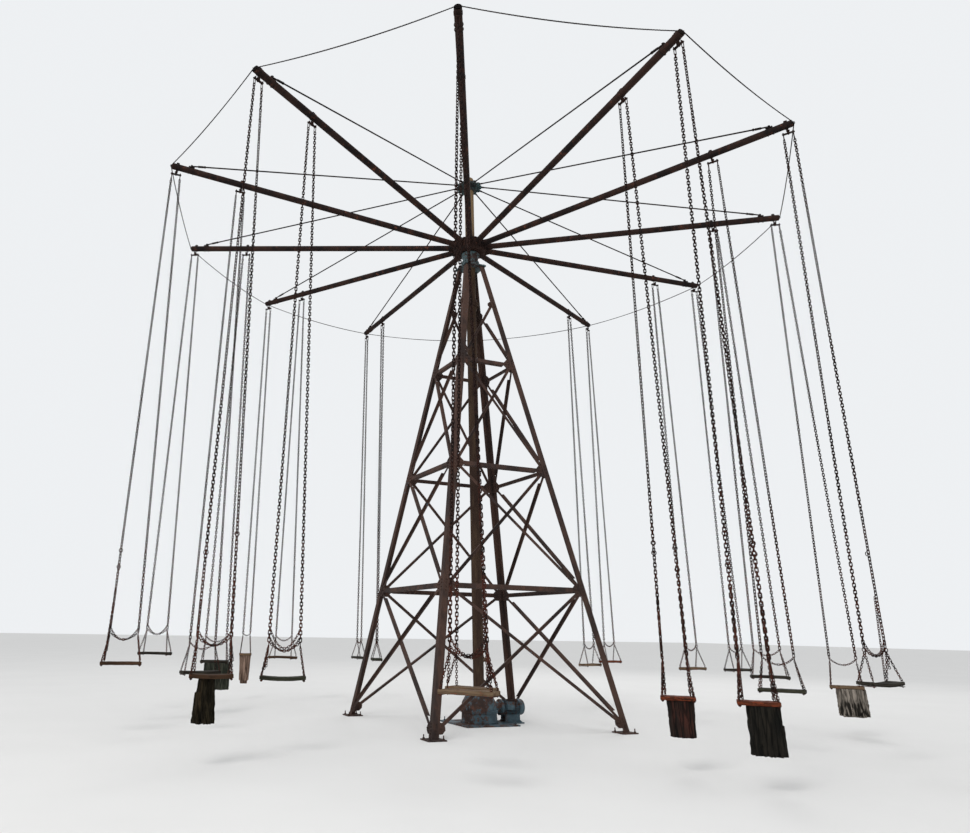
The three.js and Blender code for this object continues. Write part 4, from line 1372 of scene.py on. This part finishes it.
def make_rope():
    bm = bmesh.new()
    chord = 2 * ROPE_REACH * math.sin(math.radians(15))
    turns = round(chord * len(ARM_ANGLES) / LAY)
    for strand in range(STRANDS):
        helix = wire(strand_points(strand, turns), STRAND_RADIUS, closed=True, fineness=0)
        stamp(bm, helix, Matrix())
    clip = make_clip()
    for angle in ARM_ANGLES:
        tip = turned_by(angle, "Z") @ moved(ROPE_REACH, 0, arm_height(ARM_TIP))
        for side in (-1, 1):
            stamp(bm, clip, tip @ moved(0, side * CLIP_SPACING, 0))
        add_block(bm, (0.036, 0.050, 0.036), tip @ moved(-0.0265, 0, 0), 0.002)
    finish_piece(bm, "rim_rope", rust_stay, "rotor", ["rim_cable"], 60)
    return chord


chord = make_rope()
print("rope span", round(chord, 3), "m")

# %% [markdown]
# The tower keeps its packed legs, which only get softer edges. Its sides are made again from angle
# sections: a rail at each level, and two crossed braces in each bay, one behind the other and back
# to back, so that their wings point out of the tower and into it. Gusset plates on both faces of
# each joint cover the members' ends.

# %% Tower frames
HALF_BASE, LEAN = 1.560, 0.1797
LEG_FLANGE, LEG_THICKNESS = 0.100, 0.011
RING_LEVELS = (1.973, 3.841, 5.713)
BRACE_FOOT, LAST_BRACE_TOP = 0.120, 6.900
RAIL_WIDTH, BRACE_WIDTH, BRACE_WING = 0.064, 0.050, 0.040
RAIL_THICKNESS, BRACE_THICKNESS = 0.007, 0.0045
MEMBER_CLEAR = 0.0209                # from a side's face to the end of the members next to it
OUTSIDE = Vector((1, 0, LEAN)).normalized()


def half_side(z):
    return HALF_BASE - LEAN * z


def on_side(y, z, depth=0.0):
    """A point of the side that faces +X, depth behind the inner face of the legs' flanges."""
    return Vector((half_side(z) - LEG_THICKNESS - 0.0003 - depth, y, z))


def add_section(bm, start, end, across, over, trim=0.0):
    """A bar whose section is a box in the line's frame: across runs outwards, over along the side."""
    place, length = line_frame(start, end, OUTSIDE)
    size = (across[1] - across[0], over[1] - over[0], length - 2 * trim)
    add_block(bm, size, place @ moved(sum(across) / 2, sum(over) / 2, 0), 0.0012)


def joint_frame(corner, z, depth):
    """A frame on a side at a leg's flange edge: X away from the leg, Z outwards."""
    away = Vector((0, -corner, 0))
    turn = axes_frame(away, OUTSIDE.cross(away), OUTSIDE)
    return Matrix.Translation(on_side(corner * (half_side(z) - LEG_FLANGE), z, depth)) @ turn


print("side lengths", [round(2 * half_side(z), 3) for z in RING_LEVELS])

# %% [markdown]
# A rail or a brace is an angle section: one flat wing against the side and one wing that points in
# or out. The second wing stops short of the corners, where the gussets are.

# %% Rails and braces
RAIL_CUT, BRACE_CUT = 0.20, 0.24   # how much shorter the second wing is at each end


def add_rail(bm, z):
    end = half_side(z + RAIL_WIDTH / 2) - MEMBER_CLEAR
    start, stop = on_side(-end, z), on_side(end, z)
    half = RAIL_WIDTH / 2
    add_section(bm, start, stop, (-RAIL_THICKNESS, 0), (-half, half))
    add_section(bm, start, stop, (-RAIL_WIDTH, -RAIL_THICKNESS), (half - RAIL_THICKNESS, half), RAIL_CUT)


def add_brace(bm, low, high, way, outer):
    """A brace from the left foot to the right head, or the other way round for a way of -1."""
    ends = [half_side(z) - MEMBER_CLEAR - LEG_FLANGE / 2 for z in (low, high)]
    start, stop = on_side(-way * ends[0], low), on_side(way * ends[1], high)
    half, thin = BRACE_WIDTH / 2, BRACE_THICKNESS
    edge = (-half, thin - half) if way > 0 else (half - thin, half)
    if outer:
        add_section(bm, start, stop, (-thin, 0), (-half, half))
        add_section(bm, start, stop, (0, BRACE_WING), edge, BRACE_CUT)
    else:
        add_section(bm, start, stop, (-2 * thin, -thin), (-half, half))
        add_section(bm, start, stop, (-2 * thin - BRACE_WING, -2 * thin), edge, BRACE_CUT)


print("rail", RAIL_WIDTH, "m and brace", BRACE_WIDTH, "m wide")

# %% [markdown]
# A gusset's outline is given once for the right-hand corner and mirrored for the other. The inner
# plate reaches round behind the leg, and the bolts go right through.

# %% Gussets
GUSSET_OUTER, GUSSET_INNER = 0.006, 0.008
INNER_DEPTH = 2 * BRACE_THICKNESS + GUSSET_INNER / 2


def add_gussets(bm, corner, z, height, reach):
    """A plate on each face of a joint, with bolts through the leg and the members."""
    slope = LEAN * height
    up = -corner
    free = [(reach * 0.45, height), (reach, height * 0.35), (reach, -height * 0.35), (reach * 0.45, -height)]
    outer = [(0.003 - slope, -height), (0.003 + slope, height)] + free
    inner = [(-0.082 - slope, -height), (-0.082 + slope, height)] + free
    for outline, thickness, depth in ((outer, GUSSET_OUTER, -GUSSET_OUTER / 2),
                                      (inner, GUSSET_INNER, INNER_DEPTH)):
        plate = [(x, up * y) for x, y in outline]
        add_plate(bm, plate, thickness, joint_frame(corner, z, depth), 0.001)
    front = joint_frame(corner, z, -GUSSET_OUTER)
    leg_front = joint_frame(corner, z, -LEG_THICKNESS)
    behind = joint_frame(corner, z, INNER_DEPTH + GUSSET_INNER / 2)
    spots = [(front, reach * 0.42, height * 0.55), (front, reach * 0.42, -height * 0.55),
             (front, reach * 0.72, 0), (front, reach * 0.28, 0)]
    spots += [(leg_front, LEAN * (height * share) - LEG_FLANGE * 0.48, height * share)
              for share in (-0.8, -0.3, 0.3, 0.8)]
    for face, x, y in spots:
        stamp(bm, bolt, face @ moved(x, up * y, 0))
        stamp(bm, bolt, behind @ moved(x, up * y, 0) @ turned_by(180, "X"))


print("gussets", GUSSET_OUTER, "m and", GUSSET_INNER, "m thick")

# %% [markdown]
# One side is built facing +X and turned four times about the mast. Where two braces cross, a bolt
# goes through both.


# %% Tower sides
def make_tower_side(index):
    bm = bmesh.new()
    levels = (BRACE_FOOT,) + RING_LEVELS
    for z in RING_LEVELS:
        add_rail(bm, z)
    for low, high in zip(levels, levels[1:]):
        add_brace(bm, low, high, 1, True)
        add_brace(bm, low, high, -1, False)
        widths = [half_side(z) - MEMBER_CLEAR - LEG_FLANGE / 2 for z in (low, high)]
        cross = low + (high - low) * widths[0] / (widths[0] + widths[1])
        face = Matrix.Translation(on_side(0, cross)) @ OUTSIDE.to_track_quat("Z", "Y").to_matrix().to_4x4()
        stamp(bm, bolt, face)
        stamp(bm, bolt, face @ moved(0, 0, -2 * BRACE_THICKNESS) @ turned_by(180, "X"))
    add_brace(bm, RING_LEVELS[-1], LAST_BRACE_TOP, 1, True)
    for corner in (-1, 1):
        add_gussets(bm, corner, BRACE_FOOT + 0.02, 0.070, 0.085)
        for z in RING_LEVELS:
            add_gussets(bm, corner, z, 0.095, 0.105)
    add_gussets(bm, 1, LAST_BRACE_TOP - 0.02, 0.055, 0.060)
    bmesh.ops.transform(bm, matrix=turned_by(90 * index, "Z"), verts=bm.verts)
    finish_piece(bm, f"lattice_{index + 1}", rust_tower, "tower",
                 [f"tower_side_{index + 1}"], 30)


for index in range(4):
    make_tower_side(index)
print("tower sides", 4)

# %% [markdown]
# Each leg stands on a plate that four anchor bolts hold down. The legs themselves are rolled
# steel, so a narrow bevel takes the knife edge off them.

# %% Legs and feet
FOOT_PLATE, FOOT_SIZE = 0.016, 0.260
LEG_BEVEL = 0.003
ANCHOR_RADIUS = 0.008


def soften(name, material):
    node = frame["nodes"][name]
    node.data.materials.clear()
    node.data.materials.append(material)
    bevel = node.modifiers.new("edges", "BEVEL")
    bevel.width = LEG_BEVEL
    bevel.segments = 2
    bevel.limit_method = "ANGLE"


def add_anchor(bm, place, rise):
    """A nut on its washer, with the threaded end of the anchor bolt standing out of it."""
    stamp(bm, big_bolt, place)
    add_bar(bm, place @ Vector((0, 0, 0)), place @ Vector((0, 0, rise)), ANCHOR_RADIUS, sides=12)


def make_anchors():
    bm = bmesh.new()
    middle = HALF_BASE - LEG_FLANGE / 2
    reach = FOOT_SIZE / 2 - 0.034
    for turn in range(4):
        corner = turned_by(90 * turn, "Z")
        for x in (-reach, reach):
            for y in (-reach, reach):
                add_anchor(bm, corner @ moved(middle + x, middle + y, FOOT_PLATE), 0.052)
        inner = HALF_BASE - LEG_THICKNESS
        for way in (0, 1):
            outline = [(0, 0), (0.075, 0), (0.075, 0.010), (0.010, 0.110), (0, 0.110)]
            flip = Matrix(((0, 1, 0), (1, 0, 0), (0, 0, 1))).to_4x4() if way else Matrix()
            place = corner @ flip @ moved(inner - 0.004, inner - 0.045, FOOT_PLATE - 0.001)
            add_plate(bm, [(-x, y) for x, y in outline], 0.008, place @ ON_EDGE)
    finish_piece(bm, "tower_feet", rust_tower, "tower", [], 30)


for index in range(1, 5):
    soften(f"tower_leg_{index}", rust_tower)
make_anchors()
print("legs", 4)

# %% [markdown]
# A flanged bearing sits on the legs' heads. Its body is one turned casting with ribs, and it keeps
# more of its paint than anything else on the ride.

# %% Bearing housing
PLATE_LOW, PLATE_THICKNESS, PLATE_SIZE = 7.680, 0.022, 0.420
HOUSING_TOP, PLATE_BOLTS = 7.965, 0.178
FOOT_RADIUS, SLEEVE, RIM_RADIUS, BORE = 0.190, 0.140, 0.165, 0.0862


def add_bored_plate(bm, outline, bore, thickness, place):
    """A plate whose round hole is bridged to its outline, and which is then extruded."""
    plate = bmesh.new()
    rim = [plate.verts.new((x, y, 0)) for x, y in outline]
    loops = [plate.edges.new(pair) for pair in zip(rim, rim[1:] + rim[:1])]
    hole = bmesh.ops.create_circle(plate, segments=len(outline), radius=bore)["verts"]
    loops += list({edge for vert in hole for edge in vert.link_edges})
    faces = bmesh.ops.bridge_loops(plate, edges=loops)["faces"]
    raised = bmesh.ops.extrude_face_region(plate, geom=faces)["geom"]
    bmesh.ops.translate(plate, verts=[g for g in raised if isinstance(g, bmesh.types.BMVert)],
                        vec=(0, 0, thickness))
    stamp(bm, shape_mesh(plate, "plate"), place)


def make_housing():
    base = PLATE_LOW + PLATE_THICKNESS
    foot, rim = FOOT_RADIUS - 0.004, RIM_RADIUS - 0.004
    profile = [(BORE, PLATE_LOW), (foot, PLATE_LOW + 0.018), (foot, base), (FOOT_RADIUS, base + 0.003),
               (FOOT_RADIUS, base + 0.021), (foot, base + 0.025), (SLEEVE + 0.018, base + 0.027),
               (SLEEVE + 0.005, base + 0.034), (SLEEVE, base + 0.052), (SLEEVE, HOUSING_TOP - 0.080),
               (SLEEVE + 0.006, HOUSING_TOP - 0.066), (RIM_RADIUS, HOUSING_TOP - 0.050),
               (RIM_RADIUS, HOUSING_TOP - 0.028), (rim, HOUSING_TOP - 0.026), (rim, HOUSING_TOP - 0.022),
               (RIM_RADIUS, HOUSING_TOP - 0.020), (RIM_RADIUS, HOUSING_TOP - 0.004), (rim, HOUSING_TOP),
               (BORE, HOUSING_TOP)]
    bm = bmesh.new()
    stamp(bm, lathe(profile, 48, "bearing"), Matrix())
    plate = rounded(PLATE_SIZE, PLATE_SIZE, 0.012)
    add_bored_plate(bm, plate, BORE, PLATE_THICKNESS - 0.0005, moved(0, 0, PLATE_LOW))
    for turn in range(8):
        spin = turned_by(45 * turn + 22.5, "Z")
        outline = [(SLEEVE - 0.003, 0.020), (FOOT_RADIUS - 0.012, 0.020), (FOOT_RADIUS - 0.012, 0.032),
                   (SLEEVE + 0.010, 0.135), (SLEEVE - 0.003, 0.135)]
        add_plate(bm, outline, 0.010, spin @ moved(0, 0, base) @ ON_EDGE)
        stamp(bm, bolt, turned_by(45 * turn, "Z") @ moved(FOOT_RADIUS - 0.020, 0, base + 0.025))
        stamp(bm, small_bolt, spin @ moved(RIM_RADIUS - 0.017, 0, HOUSING_TOP))
    for x in (-1, 1):
        for y in (-1, 1):
            stamp(bm, big_bolt, moved(x * PLATE_BOLTS, y * PLATE_BOLTS, base))
    finish_piece(bm, "bearing", teal_paint, "tower", ["bearing_housing"], 35)


make_housing()
print("housing top", HOUSING_TOP)

# %% [markdown]
# The drive is out of sight low inside the tower, so this is the usual one, and its gear case comes
# first: a round casting in two halves, bolted at a flange, that tapers to a neck under the mast.

# %% Gear case
BASE_SIZE, BASE_PLATE = 0.900, 0.020
GEAR_RADIUS, GEAR_SHOULDER, GEAR_NECK, GEAR_SPLIT = 0.290, 0.330, 0.180, 0.185


def add_gear_case(bm):
    top, split = MAST_FOOT - 0.001, GEAR_SPLIT
    profile = [(0, BASE_PLATE - 0.002), (GEAR_RADIUS - 0.004, BASE_PLATE - 0.002),
               (GEAR_RADIUS, BASE_PLATE + 0.004), (GEAR_RADIUS, BASE_PLATE + 0.022),
               (GEAR_RADIUS - 0.018, BASE_PLATE + 0.026), (GEAR_RADIUS - 0.022, split - 0.020),
               (GEAR_RADIUS, split - 0.016), (GEAR_RADIUS, split - 0.002), (GEAR_RADIUS - 0.003, split),
               (GEAR_RADIUS, split + 0.002), (GEAR_RADIUS, split + 0.016),
               (GEAR_RADIUS - 0.022, split + 0.020), (GEAR_RADIUS - 0.026, GEAR_SHOULDER - 0.030),
               (GEAR_RADIUS - 0.040, GEAR_SHOULDER), (GEAR_NECK + 0.030, top - 0.022),
               (GEAR_NECK, top - 0.012), (GEAR_NECK - 0.004, top), (0, top)]
    stamp(bm, lathe(profile, 48, "case"), Matrix())
    for turn in range(16):
        spin = turned_by(22.5 * turn + 11, "Z")
        stamp(bm, bolt, spin @ moved(GEAR_RADIUS - 0.012, 0, split + 0.015))
    for turn in range(8):
        spin = turned_by(45 * turn + 22.5, "Z")
        outline = [(GEAR_RADIUS - 0.030, split + 0.016), (GEAR_RADIUS - 0.006, split + 0.016),
                   (GEAR_RADIUS - 0.030, GEAR_SHOULDER - 0.020), (GEAR_NECK + 0.020, top - 0.016),
                   (GEAR_NECK + 0.010, top - 0.040)]
        add_plate(bm, outline, 0.012, spin @ ON_EDGE)


print("gear case", round(2 * GEAR_RADIUS, 3), "m across")

# %% [markdown]
# The motor lies beside the gear case. Its body is turned like the case, thin plates stand round it
# as cooling fins, and a terminal box sits on its side with its lid on four screws.

# %% Motor
MOTOR_HEIGHT, MOTOR_START, MOTOR_END = 0.230, 0.230, 0.760
MOTOR_BODY, MOTOR_FINS = 0.098, 0.118
FIN_COUNT, FIN_START, FIN_END = 28, 0.400, 0.660
BOX_ALONG, BOX_RISE = 0.470, 0.030


def add_terminal_box(bm):
    height = MOTOR_HEIGHT + BOX_RISE
    add_block(bm, (0.120, 0.060, 0.110), moved(BOX_ALONG, -0.125, height), 0.006)
    add_block(bm, (0.128, 0.008, 0.118), moved(BOX_ALONG, -0.158, height), 0.002)
    for x in (-0.052, 0.052):
        for z in (-0.047, 0.047):
            stamp(bm, small_bolt, moved(BOX_ALONG + x, -0.162, height + z) @ turned_by(90, "X"))


def add_motor(bm):
    axis = moved(0, 0, MOTOR_HEIGHT) @ FACING_OUT
    profile = [(0, MOTOR_START + 0.010), (0.085, MOTOR_START + 0.010), (0.085, 0.330), (0.112, 0.345),
               (MOTOR_FINS, 0.352), (MOTOR_FINS, 0.384), (MOTOR_BODY, 0.392), (MOTOR_BODY, FIN_END),
               (MOTOR_FINS, FIN_END + 0.006), (MOTOR_FINS, MOTOR_END - 0.030),
               (MOTOR_FINS - 0.008, MOTOR_END - 0.010),
               (0.095, MOTOR_END - 0.004), (0.030, MOTOR_END - 0.004), (0.024, MOTOR_END - 0.012),
               (0, MOTOR_END - 0.012)]
    stamp(bm, lathe(profile, 48, "motor"), axis)
    outline = [(MOTOR_BODY - 0.004, FIN_START - 0.004), (MOTOR_FINS - 0.001, FIN_START),
               (MOTOR_FINS - 0.001, FIN_END), (MOTOR_BODY - 0.004, FIN_END)]
    for turn in range(FIN_COUNT):
        fin = axis @ turned_by(360 / FIN_COUNT * turn, "Z")
        add_plate(bm, outline, 0.004, fin @ ON_EDGE, 0.0008)
    for ring in range(4):
        stamp(bm, make_ring(0.042 + 0.016 * ring, 0.0025, 32, 0), axis @ moved(0, 0, MOTOR_END - 0.003))
    for turn in range(6):
        stamp(bm, small_bolt, axis @ turned_by(60 * turn, "Z") @ moved(0.102, 0, 0.352) @ turned_by(180, "X"))
    add_terminal_box(bm)


print("motor", round(MOTOR_END - MOTOR_START, 3), "m long")

# %% [markdown]
# The gear case, the motor on its two feet and the base that both are bolted to make one piece.

# %% Drive
PEDESTAL_MIDDLE = 0.550
ANCHOR_REACH = 0.395


def make_drive():
    bm = bmesh.new()
    add_block(bm, (BASE_SIZE, BASE_SIZE, BASE_PLATE), moved(0, 0, BASE_PLATE / 2), 0.003)
    thin = BASE_PLATE - 0.001
    add_block(bm, (0.320, 0.300, thin), moved(PEDESTAL_MIDDLE, 0, thin / 2), 0.003)
    for side in (-1, 1):
        add_block(bm, (0.260, 0.016, 0.110), moved(PEDESTAL_MIDDLE, side * 0.066, BASE_PLATE + 0.054), 0.002)
        add_block(bm, (0.290, 0.050, 0.014), moved(PEDESTAL_MIDDLE, side * 0.080, BASE_PLATE + 0.006), 0.003)
        for x in (-0.120, 0.120):
            stamp(bm, bolt, moved(PEDESTAL_MIDDLE + x, side * 0.092, BASE_PLATE + 0.013))
    add_gear_case(bm)
    add_motor(bm)
    for x in (-1, 1):
        for y in (-1, 1):
            add_anchor(bm, moved(x * ANCHOR_REACH, y * ANCHOR_REACH, BASE_PLATE), 0.055)
    finish_piece(bm, "drive", drive_paint, "tower", ["drive_base"], 35)


make_drive()
print("drive ready")

# %% [markdown]
# The floor is pale and plain and reaches to the horizon. A faint cloud of noise keeps it from
# looking like a hole in the picture. It is stage, so it rides on no body of the ride.

# %% Floor
FLOOR_SIZE = 240
FLOOR_DARK, FLOOR_LIGHT = (0.70, 0.69, 0.675), (0.75, 0.74, 0.725)


def make_floor():
    bm = bmesh.new()
    bmesh.ops.create_grid(bm, x_segments=1, y_segments=1, size=FLOOR_SIZE / 2)
    mesh = bpy.data.meshes.new("floor")
    bm.to_mesh(mesh)
    bm.free()
    floor = bpy.data.objects.new("floor", mesh)
    bpy.context.collection.objects.link(floor)
    recipe = Recipe("pale_floor")
    cloud = recipe.noise(recipe.place(), 0.6, 3)
    color = recipe.blend(cloud, FLOOR_DARK, FLOOR_LIGHT)
    recipe.finish(color, 0.9, 0.0, cloud, 0.0)
    mesh.materials.append(recipe.material)


make_floor()
print("floor", FLOOR_SIZE, "m")

# %% [markdown]
# Light on a dull day comes from everywhere at once. The studio copies it: a pale world gives the
# fill, a wide area light high on the left shapes the ride, and a weaker one behind edges it.

# %% Light
WORLD_LIGHT = (0.90, 0.92, 0.94)
WORLD_STRENGTH = 0.95


def make_light(name, place, target, size, watts):
    lamp = bpy.data.lights.new(name, "AREA")
    lamp.shape = "DISK"
    lamp.size = size
    lamp.energy = watts
    light = bpy.data.objects.new(name, lamp)
    light.location = place
    light.rotation_euler = (Vector(target) - Vector(place)).to_track_quat("-Z", "Y").to_euler()
    bpy.context.collection.objects.link(light)


def make_world():
    world = bpy.data.worlds.new("overcast")
    world.use_nodes = True
    background = world.node_tree.nodes["Background"]
    background.inputs["Color"].default_value = (*WORLD_LIGHT, 1)
    background.inputs["Strength"].default_value = WORLD_STRENGTH
    bpy.context.scene.world = world
    bpy.context.scene.view_settings.view_transform = "Standard"


make_world()
make_light("key", (-14, -12, 16), (0, 0, 4), 9, 1500)
make_light("rim", (12, 10, 14), (0, 0, 6), 8, 700)
print("lights", len(bpy.data.lights))
